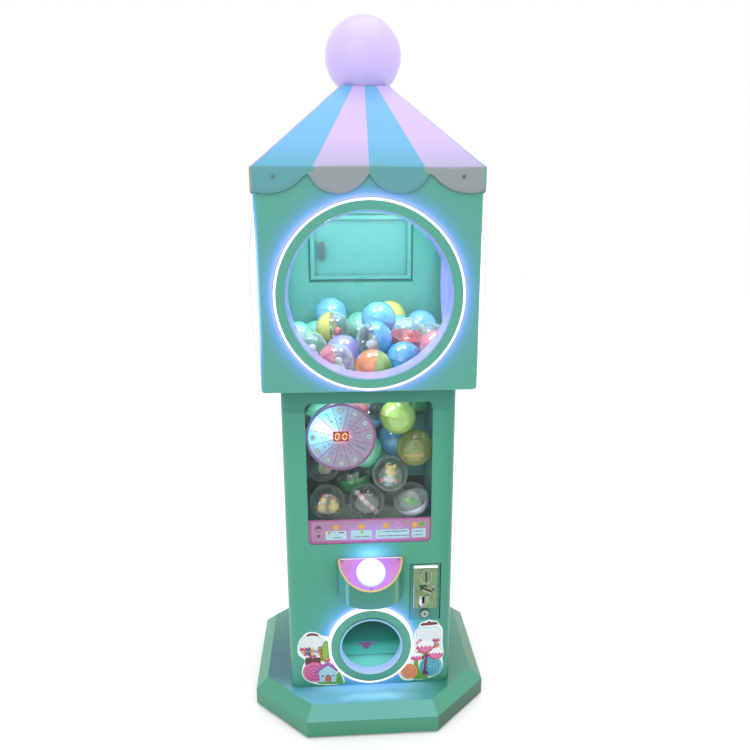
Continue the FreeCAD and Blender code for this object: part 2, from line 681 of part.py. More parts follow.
def lock_cam(x, z, face_y, inward, up):
    """Cam arm with its spindle, unlocked: the arm points up or down."""
    def at(depth):
        return vec(x, face_y + inward * depth, z)
    spindle = rod(SPINDLE_R, at(LOCK_LENGTH - 7.5), at(LOCK_LENGTH + 5.0))
    faces = (at(LOCK_LENGTH + 1.0).y, at(LOCK_LENGTH + 3.5).y)
    y0, y1 = min(faces), max(faces)
    low = z - 9 if up else z - CAM_REACH + CAM_HALF_W
    high = z + CAM_REACH - CAM_HALF_W if up else z + 9
    arm = rounded_box(x - CAM_HALF_W, x + CAM_HALF_W, y0, y1, low, high, 6.0, Y_AXIS)
    tip = high if up else low
    end = rod(CAM_HALF_W, vec(x, y0, tip), vec(x, y1, tip))
    return fuse([spindle, arm, end])


def coin_box():
    """Open-topped tray on the plinth deck that catches the coins."""
    t = COIN_BOX_WALL
    outer = block(COIN_BOX_LEFT, COIN_BOX_RIGHT, COIN_BOX_FRONT, COIN_BOX_BACK, DECK_TOP, COIN_BOX_TOP)
    inner = block(COIN_BOX_LEFT + t, COIN_BOX_RIGHT - t, COIN_BOX_FRONT + t, COIN_BOX_BACK - t,
                  DECK_TOP + t, COIN_BOX_TOP + 1)
    return outer.cut(inner)


# ---- lit rings ----------------------------------------------------------------------------------
SIDES = {
    "front": (vec(0, -HEAD_HALF_D, RING_Z), vec(0, -1, 0), FRONT_TUBE_LENGTH),
    "left": (vec(-HEAD_HALF_W, 0, RING_Z), vec(-1, 0, 0), SIDE_TUBE_LENGTH),
    "right": (vec(HEAD_HALF_W, 0, RING_Z), vec(1, 0, 0), SIDE_TUBE_LENGTH),
}


def ring_parts(centre, out, halo_r, cover_r, tube_r, bore_r, proud, tube_proud, tube_length):
    """Halo diffuser, painted cover, inner tube and LED strip of one lit ring."""
    def at(height):
        return centre + out * height
    halo = tube(halo_r, cover_r, at(0), at(proud))
    bevel = rod(halo_r + 1, at(proud - HALO_BEVEL), at(proud + 1))
    cone = Part.makeCone(halo_r, halo_r - HALO_BEVEL, HALO_BEVEL, at(proud - HALO_BEVEL), out)
    bevel = bevel.cut(cone)
    halo = halo.cut(bevel)
    cover = tube(cover_r - 0.3, tube_r, at(proud - COVER_SHEET), at(proud))
    inner = tube(tube_r - 0.3, bore_r, at(tube_proud - tube_length), at(tube_proud))
    strip = tube(cover_r - 2.0, cover_r - 3.6, at(1.0), at(proud - COVER_SHEET - 1.0))
    return halo, cover, inner, strip


def head_rings():
    strips = []
    for side, (centre, out, length) in SIDES.items():
        halo, cover, inner, strip = ring_parts(centre, out, RING_HALO_R, RING_COVER_R, RING_TUBE_R,
                                               RING_BORE_R, RING_PROUD, RING_PROUD, length)
        inner_end = centre + out * (RING_PROUD - length)
        pane = rod(RING_TUBE_R - 0.3, inner_end - out * PANE, inner_end)
        save(side + "_halo_diffuser", halo)
        save(side + "_ring_cover", cover)
        save(side + "_window_tube", inner)
        save(side + "_window_pane", pane)
        strips.append(strip)
    return strips


def outlet_ring():
    centre = vec(OUTLET_X, -COLUMN_HALF_D, OUTLET_Z)
    halo, cover, inner, strip = ring_parts(centre, vec(0, -1, 0), OUTLET_HALO_R, OUTLET_COVER_R,
                                           OUTLET_TUBE_R, OUTLET_BORE_R, OUTLET_PROUD,
                                           OUTLET_TUBE_PROUD, OUTLET_TUBE_LENGTH)
    save("outlet_halo_diffuser", halo)
    save("outlet_ring_cover", cover)
    save("outlet_tube", inner)
    return strip


# ---- prize outlet -------------------------------------------------------------------------------
def prize_chute():
    """Sheet duct: drop shaft at the back, sloping floor, tray behind the outlet."""
    front = -COLUMN_HALF_D + OUTLET_TUBE_LENGTH - OUTLET_TUBE_PROUD + 0.2
    t = CHUTE_SHEET
    shaft_front = ROTOR_Y + POCKET_PITCH - POCKET_R - 4

    def profile(points, half_w):
        return prism([vec(-half_w, y, z) for y, z in points], vec(2 * half_w, 0, 0))
    outer = profile([(front, CHUTE_FLOOR - t), (CHUTE_TRAY_END, CHUTE_FLOOR - t),
                     (CHUTE_BACK, CHUTE_SLOPE_TOP), (CHUTE_BACK, DECK_Z), (shaft_front, DECK_Z),
                     (shaft_front, CHUTE_NECK_Z), (CHUTE_ROOF_Y, CHUTE_ROOF_Z), (front, CHUTE_ROOF_Z)],
                    CHUTE_HALF_W)
    inner = profile([(front - 5, CHUTE_FLOOR), (CHUTE_TRAY_END - 1, CHUTE_FLOOR),
                     (CHUTE_BACK - t, CHUTE_SLOPE_TOP + 1.5), (CHUTE_BACK - t, DECK_Z + 5),
                     (shaft_front + t, DECK_Z + 5), (shaft_front + t, CHUTE_NECK_Z - 1),
                     (CHUTE_ROOF_Y + 1, CHUTE_ROOF_Z - t), (front - 5, CHUTE_ROOF_Z - t)],
                    CHUTE_HALF_W - t)
    return outer.cut(inner)


def prize_flap():
    """Hanging flap with its hinge tube along the top edge."""
    y0 = FLAP_Y - FLAP_THICK / 2
    panel = block(-FLAP_HALF_W, FLAP_HALF_W, y0, y0 + FLAP_THICK, FLAP_BOTTOM, FLAP_HINGE_Z)
    hinge = rod(FLAP_KNUCKLE_R, vec(-FLAP_HALF_W, FLAP_Y, FLAP_HINGE_Z), vec(FLAP_HALF_W, FLAP_Y, FLAP_HINGE_Z))
    bore = rod(FLAP_PIN_R + RUNNING_GAP, vec(-FLAP_HALF_W - 1, FLAP_Y, FLAP_HINGE_Z),
               vec(FLAP_HALF_W + 1, FLAP_Y, FLAP_HINGE_Z))
    return fuse([panel, hinge]).cut(bore)


# ---- dispenser ----------------------------------------------------------------------------------
def rotor_point(z):
    return vec(0, ROTOR_Y, z)


def pocket_centre(index, z):
    angle = math.radians(90 + 360.0 * index / POCKETS)
    return vec(POCKET_PITCH * math.cos(angle), ROTOR_Y + POCKET_PITCH * math.sin(angle), z)


def dispenser_deck():
    """Deck across the column with the drop hole and the rotor's guard ring."""
    half_w = COLUMN_HALF_W - SHEET
    deck = rounded_box(-half_w, half_w, -COLUMN_HALF_D + SHEET + PANE, COLUMN_HALF_D - SHEET,
                       DECK_Z, DECK_Z + DECK_SHEET, COLUMN_CORNER - SHEET)
    guard = tube(ROTOR_R + GUARD_GAP + GUARD_WALL, ROTOR_R + GUARD_GAP, rotor_point(DECK_Z + DECK_SHEET),
                 rotor_point(ROTOR_TOP + 2))
    drop = rod(POCKET_R + 1.5, pocket_centre(0, DECK_Z - 1), pocket_centre(0, DECK_Z + 5))
    shaft = rod(ROTOR_SHAFT_R + 2.0, rotor_point(DECK_Z - 1), rotor_point(DECK_Z + 5))
    return fuse([deck, guard]).cut(drop).cut(shaft)


def capsule_rotor():
    disc = rod(ROTOR_R, rotor_point(ROTOR_BOTTOM), rotor_point(ROTOR_TOP))
    for i in range(POCKETS):
        disc = disc.cut(rod(POCKET_R, pocket_centre(i, ROTOR_BOTTOM - 1), pocket_centre(i, ROTOR_TOP + 1)))
    cone = Part.makeCone(ROTOR_CONE_R, ROTOR_CONE_TOP_R, ROTOR_CONE_HIGH, rotor_point(ROTOR_TOP))
    bore = rod(ROTOR_SHAFT_R + RUNNING_GAP, rotor_point(ROTOR_BOTTOM - 1), rotor_point(ROTOR_TOP + 8))
    return fuse([disc, cone]).cut(bore)


def rotor_motor():
    can_top = DECK_Z - GEARBOX_HIGH + 2
    can = rod(MOTOR_R, rotor_point(can_top - MOTOR_LENGTH), rotor_point(can_top))
    gearbox = rounded_box(-GEARBOX_HALF_W, GEARBOX_HALF_W, ROTOR_Y - GEARBOX_FRONT, ROTOR_Y + GEARBOX_BACK,
                          DECK_Z - GEARBOX_HIGH, DECK_Z, 6.0)
    shaft = rod(ROTOR_SHAFT_R, rotor_point(DECK_Z - 4), rotor_point(ROTOR_TOP + 6))
    return fuse([can, gearbox, shaft])


def hopper_bin():
    """Bin behind the window: side walls, raised back wall and a floor round the rotor."""
    front = BIN_FRONT
    t = BIN_SHEET
    box = block(-BIN_HALF_W, BIN_HALF_W, front, BIN_BACK, BIN_FLOOR - 6, COLUMN_TOP)
    room = block(-BIN_HALF_W + t, BIN_HALF_W - t, front - 1, BIN_BACK - t, BIN_FLOOR - 4, COLUMN_TOP + 1)
    hole = rod(ROTOR_R + 1, rotor_point(BIN_FLOOR - 10), rotor_point(BIN_FLOOR))
    carried = block(-BIN_HALF_W + t, BIN_HALF_W - t, BIN_BACK - 3 * t, BIN_BACK + 1, BIN_FLOOR - 7, BIN_LIFT)
    return box.cut(room).cut(hole).cut(carried)


# ---- head ---------------------------------------------------------------------------------------
def head_shell():
    """Box with rounded lower edges, open at the top, with a hopper hole in its floor."""
    outer = rounded_box(-HEAD_HALF_W, HEAD_HALF_W, -HEAD_HALF_D, HEAD_HALF_D, HEAD_BOTTOM, HEAD_TOP,
                        HEAD_CORNER)
    lower = [edge for edge in outer.Edges
             if abs(edge.BoundBox.ZMax - HEAD_BOTTOM) < 1e-6 and abs(edge.BoundBox.ZMin - HEAD_BOTTOM) < 1e-6]
    outer = outer.makeFillet(HEAD_CORNER - 1, lower)
    t = HEAD_SHEET
    inner = rounded_box(-HEAD_HALF_W + t, HEAD_HALF_W - t, -HEAD_HALF_D + t, HEAD_HALF_D - t,
                        HEAD_BOTTOM + t, HEAD_TOP + 1, HEAD_CORNER - t)
    shell = outer.cut(inner)
    for centre, out, length in SIDES.values():
        shell = shell.cut(rod(RING_TUBE_R + 0.4, centre - out * 10, centre + out * 10))
    hopper = block(-BIN_HALF_W, BIN_HALF_W, BIN_FRONT, BIN_BACK, HEAD_BOTTOM - 1, HEAD_BOTTOM + t + 1)
    refill = block(-REFILL_HALF_W, REFILL_HALF_W, HEAD_HALF_D - 2 * t, HEAD_HALF_D + 1,
                   REFILL_BOTTOM, REFILL_TOP)
    return shell.cut(hopper).cut(refill)


def head_funnel():
    """Sloping floor sheets that lead the capsules to the hopper hole."""
    half_w = HEAD_HALF_W - HEAD_SHEET - INNER_GAP
    half_d = HEAD_HALF_D - HEAD_SHEET - INNER_GAP
    front = BIN_FRONT
    t = BIN_SHEET
    low = HEAD_BOTTOM + HEAD_SHEET + t
    high = low + FUNNEL_RISE

    def room(drop):
        bottom = [vec(-BIN_HALF_W, front, low - drop), vec(BIN_HALF_W, front, low - drop),
                  vec(BIN_HALF_W, BIN_BACK, low - drop), vec(-BIN_HALF_W, BIN_BACK, low - drop)]
        return loft(bottom, rectangle(half_w, half_d, high - drop))
    hole = block(-BIN_HALF_W, BIN_HALF_W, front, BIN_BACK, low - 5, high)
    return room(t).cut(room(0)).cut(hole)


# ---- roof and globe -----------------------------------------------------------------------------
def lobe_cutter(start, end, lowest, wall):
    """Material under the valance's edge beside one rounded lobe, between two cusps.

    start and end run along the wall; lowest is where the lobe hangs lowest.
    """
    inner = start if abs(start) < abs(end) else end
    reach = abs(inner - lowest)
    drop = CUSP_Z - VALANCE_BOTTOM
    radius = (reach ** 2 + drop ** 2) / (2 * drop)
    middle = VALANCE_BOTTOM + radius
    lower, upper = min(start, end), max(start, end)
    if wall == "front":
        keep = rod(radius, vec(lowest, -FAR, middle), vec(lowest, FAR, middle))
        band = block(lower, upper, -EAVE_HALF_D - 1, -EAVE_HALF_D + ROOF_SHEET, VALANCE_BOTTOM - 1, CUSP_Z)
    else:
        keep = rod(radius, vec(-FAR, lowest, middle), vec(FAR, lowest, middle))
        band = block(-EAVE_HALF_W - 1, -EAVE_HALF_W + ROOF_SHEET, lower, upper, VALANCE_BOTTOM - 1, CUSP_Z)
    return band.cut(keep)


def roof_shell():
    """Hollow pyramid with a scalloped valance and a seat for the globe."""
    t = ROOF_SHEET
    top = ROOF_TOP_HALF
    outer = block(-EAVE_HALF_W, EAVE_HALF_W, -EAVE_HALF_D, EAVE_HALF_D, VALANCE_BOTTOM, EAVE_Z)
    outer = outer.fuse(loft(rectangle(EAVE_HALF_W, EAVE_HALF_D, EAVE_Z), rectangle(top, top, ROOF_TOP)))
    inner = block(-EAVE_HALF_W + t, EAVE_HALF_W - t, -EAVE_HALF_D + t, EAVE_HALF_D - t,
                  VALANCE_BOTTOM - 1, EAVE_Z - 1)
    inner = inner.fuse(loft(rectangle(EAVE_HALF_W - t, EAVE_HALF_D - t, EAVE_Z - 1),
                            rectangle(top - 1.5, top - 1.5, ROOF_TOP - t)))
    roof = outer.removeSplitter().cut(inner)
    for wall, cusp, half, lowest in (("front", VALANCE_CUSP_X, EAVE_HALF_W, CORNER_LOBE_X),
                                     ("side", VALANCE_CUSP_Y, EAVE_HALF_D, CORNER_LOBE_Y)):
        spans = [(-half, -cusp, -lowest), (-cusp, 0, -cusp / 2), (0, cusp, cusp / 2), (cusp, half, lowest)]
        for start, end, low_point in spans:
            cutter = lobe_cutter(start, end, low_point, wall)
            roof = roof.cut(cutter)
            cutter.rotate(vec(0, 0, 0), Z_AXIS, 180)
            roof = roof.cut(cutter)
    seat = rod(GLOBE_SEAT_R, vec(0, 0, ROOF_TOP - 2 * t), vec(0, 0, ROOF_TOP + 1))
    return roof.cut(seat)


def roof_light_board():
    """Board that closes the head under the roof, with four LED bars."""
    half_w = HEAD_HALF_W - HEAD_SHEET - INNER_GAP
    half_d = HEAD_HALF_D - HEAD_SHEET - INNER_GAP
    low = HEAD_TOP - BOARD_DROP
    top = low + BOARD_THICK
    board = block(-half_w, half_w, -half_d, half_d, low, top)
    bars = [block(x - BAR_HALF_W, x + BAR_HALF_W, -half_d + 40, half_d - 40, top, top + BAR_HIGH)
            for x in BAR_PLACES]
    return fuse([board] + bars)


def globe():
    """Opal shell, cut flat where it stands on the roof's top."""
    centre = vec(0, 0, GLOBE_Z)
    shell = Part.makeSphere(GLOBE_R, centre).cut(Part.makeSphere(GLOBE_R - GLOBE_WALL, centre))
    below = block(-FAR, FAR, -FAR, FAR, 0, ROOF_TOP)
    return shell.cut(below)


def globe_lamp():
    """Mounting disc under the roof's top sheet, with the lamp holder and bulb."""
    base = ROOF_TOP - ROOF_SHEET
    disc = rod(LAMP_DISC_R, vec(0, 0, base - 3), vec(0, 0, base))
    holder = rod(LAMP_HOLDER_R, vec(0, 0, base), vec(0, 0, base + LAMP_HOLDER_HIGH))
    bulb = Part.makeSphere(BULB_R, vec(0, 0, base + BULB_HIGH))
    return fuse([disc, holder, bulb])


# ---- screws -------------------------------------------------------------------------------------
def screw_head(radius, height, point, out):
    head = rod(radius, point, point + out * height)
    slot = Part.makeBox(2 * radius + 2, 0.8, height, vec(-radius - 1, -0.4, 0))
    slot.Placement = FreeCAD.Placement(point + out * (height * 0.6), FreeCAD.Rotation(Z_AXIS, out))
    return head.cut(slot)


def cover_screws():
    """Screw heads of the valance, the wheel's rim and the button plate."""
    heads = []
    for x in (-VALANCE_SCREW_X, VALANCE_SCREW_X):
        for side in (-1, 1):
            point = vec(x, side * EAVE_HALF_D, VALANCE_SCREW_Z)
            heads.append(screw_head(VALANCE_SCREW_R, 2.2, point, vec(0, side, 0)))
    for i in range(4):
        angle = math.radians(45 + 90 * i)
        point = vec(WHEEL_X + RIM_SCREW_AT * math.cos(angle), WHEEL_FRONT_Y - 1,
                    WHEEL_Z + RIM_SCREW_AT * math.sin(angle))
        heads.append(screw_head(RIM_SCREW_R, 1.3, point, vec(0, -1, 0)))
    for x, down in PLATE_SCREWS:
        head = Part.makeCylinder(PLATE_SCREW_R, 2.0, vec(x, 0, PLATE))
        heads.append(on_slope(head, down))
    return heads


# ---- doors at the back --------------------------------------------------------------------------
def back_door(half_w, bottom, top, wall_y, lock_x, lock_z):
    """Sheet door with a folded rim inside the opening, hinged on its +X side."""
    pivot_x = half_w + BACK_PIN_BESIDE
    pivot_y = wall_y + BACK_PIN_STANDOFF
    low = bottom - DOOR_LAP
    high = top + DOOR_LAP
    panel = block(-half_w - DOOR_LAP, pivot_x, wall_y + 0.5, wall_y + 3.0, low, high)
    rim_w = half_w - 2
    rim = block(-rim_w, rim_w, wall_y + 0.5 - RIM_DEPTH, wall_y + 1, bottom + 2, top - 2)
    rim = rim.cut(block(-rim_w + RIM_WIDTH, rim_w - RIM_WIDTH, wall_y - RIM_DEPTH, wall_y + 2,
                        bottom + 2 + RIM_WIDTH, top - 2 - RIM_WIDTH))
    knuckle = rod(BACK_KNUCKLE_R, vec(pivot_x, pivot_y, low), vec(pivot_x, pivot_y, high))
    bore = rod(BACK_PIN_R + RUNNING_GAP, vec(pivot_x, pivot_y, low - 1), vec(pivot_x, pivot_y, high + 1))
    lock = rod(LOCK_BODY_R + 0.1, vec(lock_x, wall_y - 1, lock_z), vec(lock_x, wall_y + 4, lock_z))
    door = fuse([panel, rim, knuckle]).cut(bore).cut(lock)
    return [door, lock_barrel(lock_x, lock_z, wall_y + 3.0, -1)]


def back_hinge(half_w, bottom, top, wall_y):
    """Fixed pin held by a lug above and below the door's knuckle."""
    pivot_x = half_w + BACK_PIN_BESIDE
    pivot_y = wall_y + BACK_PIN_STANDOFF
    low = bottom - DOOR_LAP - 0.5
    high = top + DOOR_LAP + 0.5
    pin = rod(BACK_PIN_R, vec(pivot_x, pivot_y, low - 6), vec(pivot_x, pivot_y, high + 6))
    lugs = [block(pivot_x - 5, pivot_x + 5, wall_y, pivot_y + 5, z0, z0 + 6) for z0 in (low - 6, high)]
    return fuse([pin] + lugs)


def coin_hinge():
    """Fixed pin inside the front wall, held above and below the coin door."""
    low = DOOR_BOTTOM - 9
    high = DOOR_TOP + 9
    inside = -COLUMN_HALF_D + SHEET
    pin = rod(COIN_PIN_R, vec(DOOR_PIVOT_X, DOOR_PIVOT_Y, low), vec(DOOR_PIVOT_X, DOOR_PIVOT_Y, high))
    lugs = [block(DOOR_PIVOT_X - 4, DOOR_PIVOT_X + 4, inside, DOOR_PIVOT_Y + 4, z0, z0 + 6)
            for z0 in (low, high - 6)]
    return fuse([pin] + lugs)


def flap_pin():
    reach = CHUTE_HALF_W - CHUTE_SHEET
    return rod(FLAP_PIN_R, vec(-reach, FLAP_Y, FLAP_HINGE_Z), vec(reach, FLAP_Y, FLAP_HINGE_Z))


# ---- electrics ----------------------------------------------------------------------------------
def power_inlet():
    """Flanged appliance inlet in the column's back wall, with an open socket."""
    wall = COLUMN_HALF_D
    flange = rounded_box(INLET_X - FLANGE_HALF_W, INLET_X + FLANGE_HALF_W, wall, wall + FLANGE_THICK,
                         INLET_Z - FLANGE_HALF_H, INLET_Z + FLANGE_HALF_H, 4.0, Y_AXIS)
    body = block(INLET_X - INLET_HALF_W, INLET_X + INLET_HALF_W, wall - INLET_DEEP, wall,
                 INLET_Z - INLET_HALF_H, INLET_Z + INLET_HALF_H)
    socket = block(INLET_X - SOCKET_HALF_W, INLET_X + SOCKET_HALF_W, wall - SOCKET_DEEP, wall + 3,
                   INLET_Z - SOCKET_HALF_H, INLET_Z + SOCKET_HALF_H)
    return fuse([flange, body]).cut(socket)


def control_board():
    """Controller in its case on the left wall."""
    wall = -COLUMN_HALF_W + SHEET
    front = wall + CASE_DEEP
    case = rounded_box(wall, front, CASE_Y[0], CASE_Y[1], CASE_Z[0], CASE_Z[1], 4.0, X_AXIS)
    plugs = []
    for i in range(4):
        y = PLUG_Y + PLUG_PITCH * i
        plugs.append(block(front, front + PLUG_HIGH, y, y + PLUG_LONG, PLUG_Z, PLUG_Z + PLUG_HIGH))
    return fuse([case] + plugs)


def power_supply():
    """Mains power supply on the plinth deck with a finned top."""
    left, right = SUPPLY_X
    top = DECK_TOP + SUPPLY_HIGH
    body = block(left, right, SUPPLY_Y[0], SUPPLY_Y[1], DECK_TOP, top)
    for i in range(9):
        y = FIN_FIRST_Y + FIN_PITCH * i
        body = body.cut(block(left + 5, right - 5, y, y + FIN_PITCH / 2, top - FIN_DEEP, top + 1))
    return body


# ---- capsules -----------------------------------------------------------------------------------
TOP_LAYER = [
    (8, -145, 971), (-80, -128, 985), (95, -98, 982), (-160, -75, 1000), (176, -122, 1012),
    (-75, -22, 998), (14, -60, 1024), (114, -20, 1027), (-105, 68, 1018), (185, 50, 1008),
    (-185, 25, 1016), (39, 22, 1064), (-20, 85, 1012), (-108, 158, 1024), (-24, 177, 1020),
    (118, 80, 1018), (171, 150, 1024), (80, 168, 1047), (-185, 110, 1006),
]
BEHIND_WINDOW = [
    (57, -145, 680), (-110, -145, 604), (-9, -145, 606), (107, -145, 604), (122, -143, 750),
    (84, -125, 836), (122, -60, 850), (3, -98, 722), (73, -58, 745), (-122, -80, 678),
    (-52, -75, 652),
]


def inside_machine(x, y, z):
    """Nearest place to a capsule's centre that the walls, panes, floor and wheel allow."""
    r = CAPSULE_R + CLEARANCE
    low_head_front = -HEAD_HALF_D - RING_PROUD + FRONT_TUBE_LENGTH + PANE + r
    if z > HEAD_BOTTOM + 24 + r:
        limit_x = HEAD_HALF_W + RING_PROUD - SIDE_TUBE_LENGTH - PANE - r
        front = low_head_front
        back = HEAD_HALF_D - 18 - r
    else:
        limit_x = BIN_HALF_W - 2 - r
        front = low_head_front if z > HEAD_BOTTOM - r else -COLUMN_HALF_D + SHEET + PANE + r
        back = BIN_BACK - 2 - r
        in_column = abs(x) < BIN_HALF_W and y < BIN_BACK
        if not in_column:
            return (max(-limit_x - 10, min(limit_x + 10, x)), y, HEAD_BOTTOM + 25 + r)
    x = max(-limit_x, min(limit_x, x))
    y = max(front, min(back, y))
    z = max(BIN_FLOOR + r, z)
    beside = math.hypot(x - WHEEL_X, z - WHEEL_Z)
    behind_wheel = HOUSING_BACK_Y + r
    if beside < WHEEL_R + r and y < behind_wheel:
        if y > behind_wheel - 40 or beside < WHEEL_R:
            y = behind_wheel
        else:
            scale = (WHEEL_R + r) / beside
            x = WHEEL_X + (x - WHEEL_X) * scale
            z = WHEEL_Z + (z - WHEEL_Z) * scale
    return (x, y, z)


def settled(seeds):
    """Push capsules that overlap apart until they only touch, keeping them inside."""
    places = [inside_machine(*seed) for seed in seeds]
    gap = 2 * CAPSULE_R + CLEARANCE
    for _ in range(1500):
        moved = 0.0
        for i in range(len(places)):
            for j in range(i + 1, len(places)):
                a = places[i]
                b = places[j]
                apart = [b[k] - a[k] for k in range(3)]
                distance = math.sqrt(sum(step * step for step in apart)) or 1.0
                if distance >= gap:
                    continue
                push = (gap - distance) / 2 / distance
                places[i] = tuple(a[k] - apart[k] * push for k in range(3))
                places[j] = tuple(b[k] + apart[k] * push for k in range(3))
                moved = max(moved, gap - distance)
        places = [inside_machine(*place) for place in places]
        if moved < 0.05:
            break
    return places


def has_room(place, others):
    in_mouth = place[0] > MOUTH_X and place[1] > MOUTH_Y and place[2] < MOUTH_TOP
    if in_mouth or math.dist(inside_machine(*place), place) > 0.01:
        return False
    return all(math.dist(place, other) > 2 * CAPSULE_R + CLEARANCE for other in others)


def capsule_places():
    """Seen capsules first, then the rest of the bin is filled from its floor up."""
    places = settled(TOP_LAYER + BEHIND_WINDOW)
    low = int(BIN_FLOOR + CAPSULE_R + 1)
    for z in range(low, int(HEAD_BOTTOM) + 20, FILL_STEP):
        for y in range(-31, -146, -FILL_STEP // 2):
            for x in range(-121, 122, FILL_STEP // 2):
                if has_room((x, y, z), places):
                    places.append((x, y, z))
    return places


def capsules():
    """Hollow balls; a small vent opens each one."""
    balls = []
    for x, y, z in capsule_places():
        centre = vec(x, y, z)
        ball = Part.makeSphere(CAPSULE_R, centre).cut(Part.makeSphere(CAPSULE_R - CAPSULE_WALL, centre))
        balls.append(ball.cut(rod(VENT_R, centre, centre + vec(0, CAPSULE_R + 1, 0))))
    return balls


# ---- write every node ---------------------------------------------------------------------------
def main():
    os.makedirs("parts", exist_ok=True)
    save("base_plinth", base_plinth())
    save("base_frame", base_frame())
    save("levelling_feet", levelling_feet())
    save("column_shell", column_shell())
    save("column_window_pane", column_window_pane())
    save("instruction_strip", instruction_strip())
    save("wheel_face", wheel_face())
    save("wheel_rim", wheel_rim())
    save("wheel_housing", wheel_housing())
    save("digit_display", digit_display())
    save("button_hood", button_hood())
    save("button_plate", button_plate())
    save("button_body", button_body())
    save("button_dome", button_dome())
    save("coin_door", coin_door())
    save("coin_faceplate", coin_faceplate())
    save("coin_return_cup", coin_return_cup())
    save("coin_mechanism", coin_mechanism())
    save("reject_lever", reject_lever())
    save("coin_lock", lock_barrel(COIN_LOCK_X, COIN_LOCK_Z, DOOR_FRONT_Y, 1))
    save("coin_lock_cam", lock_cam(COIN_LOCK_X, COIN_LOCK_Z, DOOR_FRONT_Y, 1, True))
    save("coin_box", coin_box())
    save("ring_led_strips", head_rings() + [outlet_ring()])
    save("prize_chute", prize_chute())
    save("prize_flap", prize_flap())
    save("dispenser_deck", dispenser_deck())
    save("capsule_rotor", capsule_rotor())
    save("rotor_motor", rotor_motor())
    save("hopper_bin", hopper_bin())
    save("head_shell", head_shell())
    save("head_funnel", head_funnel())
    save("roof_shell", roof_shell())
    save("roof_light_board", roof_light_board())
    save("globe", globe())
    save("globe_lamp", globe_lamp())
    save("cover_screws", cover_screws())
    save("head_rear_door", back_door(REFILL_HALF_W, REFILL_BOTTOM, REFILL_TOP, HEAD_HALF_D,
                                     REFILL_LOCK_X, REFILL_LOCK_Z))
    save("head_door_cam", lock_cam(REFILL_LOCK_X, REFILL_LOCK_Z, HEAD_HALF_D + 3.0, -1, False))
    save("column_rear_door", back_door(SERVICE_HALF_W, SERVICE_BOTTOM, SERVICE_TOP, COLUMN_HALF_D,
                                       SERVICE_LOCK_X, SERVICE_LOCK_Z))
    save("column_door_cam", lock_cam(SERVICE_LOCK_X, SERVICE_LOCK_Z, COLUMN_HALF_D + 3.0, -1, False))
    save("hinge_pins", [back_hinge(REFILL_HALF_W, REFILL_BOTTOM, REFILL_TOP, HEAD_HALF_D),
                        back_hinge(SERVICE_HALF_W, SERVICE_BOTTOM, SERVICE_TOP, COLUMN_HALF_D),
                        coin_hinge(), flap_pin()])
    save("power_inlet", power_inlet())
    save("control_board", control_board())
    save("power_supply", power_supply())
    save("capsules", capsules())


main()
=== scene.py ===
"""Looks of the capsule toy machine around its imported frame.

Lengths are metres, +Z is up and the front faces -Y. Artwork is laid out in mm.
"""
import math

import bmesh
import bpy
from mathutils import Matrix, Vector


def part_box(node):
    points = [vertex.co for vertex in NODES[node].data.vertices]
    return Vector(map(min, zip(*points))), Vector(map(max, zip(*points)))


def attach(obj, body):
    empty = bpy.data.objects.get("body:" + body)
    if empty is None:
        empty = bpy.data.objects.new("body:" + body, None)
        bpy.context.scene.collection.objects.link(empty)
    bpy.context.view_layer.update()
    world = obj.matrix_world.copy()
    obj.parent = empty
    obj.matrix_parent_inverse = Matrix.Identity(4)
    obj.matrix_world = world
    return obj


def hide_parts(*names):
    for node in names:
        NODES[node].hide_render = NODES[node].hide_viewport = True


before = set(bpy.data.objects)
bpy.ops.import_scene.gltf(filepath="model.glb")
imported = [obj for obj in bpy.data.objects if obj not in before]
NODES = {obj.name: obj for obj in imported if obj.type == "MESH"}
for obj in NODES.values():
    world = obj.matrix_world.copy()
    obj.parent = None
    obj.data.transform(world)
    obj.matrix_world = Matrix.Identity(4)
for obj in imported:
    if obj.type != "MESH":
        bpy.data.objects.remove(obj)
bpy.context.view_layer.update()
MM = 0.001
FRONT = Vector((0, -1, 0))
RIGHT = Vector((1, 0, 0))
UP = Vector((0, 0, 1))


# ---- places taken from the frame ----------------------------------------------------------------
def middle(node):
    low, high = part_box(node)
    return (low + high) / 2


def size_of(node):
    low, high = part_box(node)
    return high - low


def ring_facts(node, out):
    """Centre on the wall, direction it faces and outer radius of a lit ring's halo."""
    low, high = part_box(node)
    centre = (low + high) / 2
    depth = abs((high - low).dot(out))
    radius = max(high - low) / 2
    return centre - out * depth / 2, out, radius


RINGS = {
    "front": ring_facts("front_halo_diffuser", FRONT),
    "left": ring_facts("left_halo_diffuser", -RIGHT),
    "right": ring_facts("right_halo_diffuser", RIGHT),
    "outlet": ring_facts("outlet_halo_diffuser", FRONT),
}
COLUMN_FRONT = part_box("instruction_strip")[0].y
HEAD_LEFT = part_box("head_shell")[0].x
HEAD_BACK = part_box("head_shell")[1].y
SKIN = 0.0026             # a point this far inside the head's outer faces is on its inner side


# ---- material helpers ---------------------------------------------------------------------------
def tint(red, green, blue):
    """Display colour from 0 to 255 as the linear colour a shader takes."""
    def linear(value):
        share = value / 255
        if share <= 0.04045:
            return share / 12.92
        return ((share + 0.055) / 1.055) ** 2.4
    return (linear(red), linear(green), linear(blue), 1.0)


def grey(value):
    return (value, value, value, 1.0)


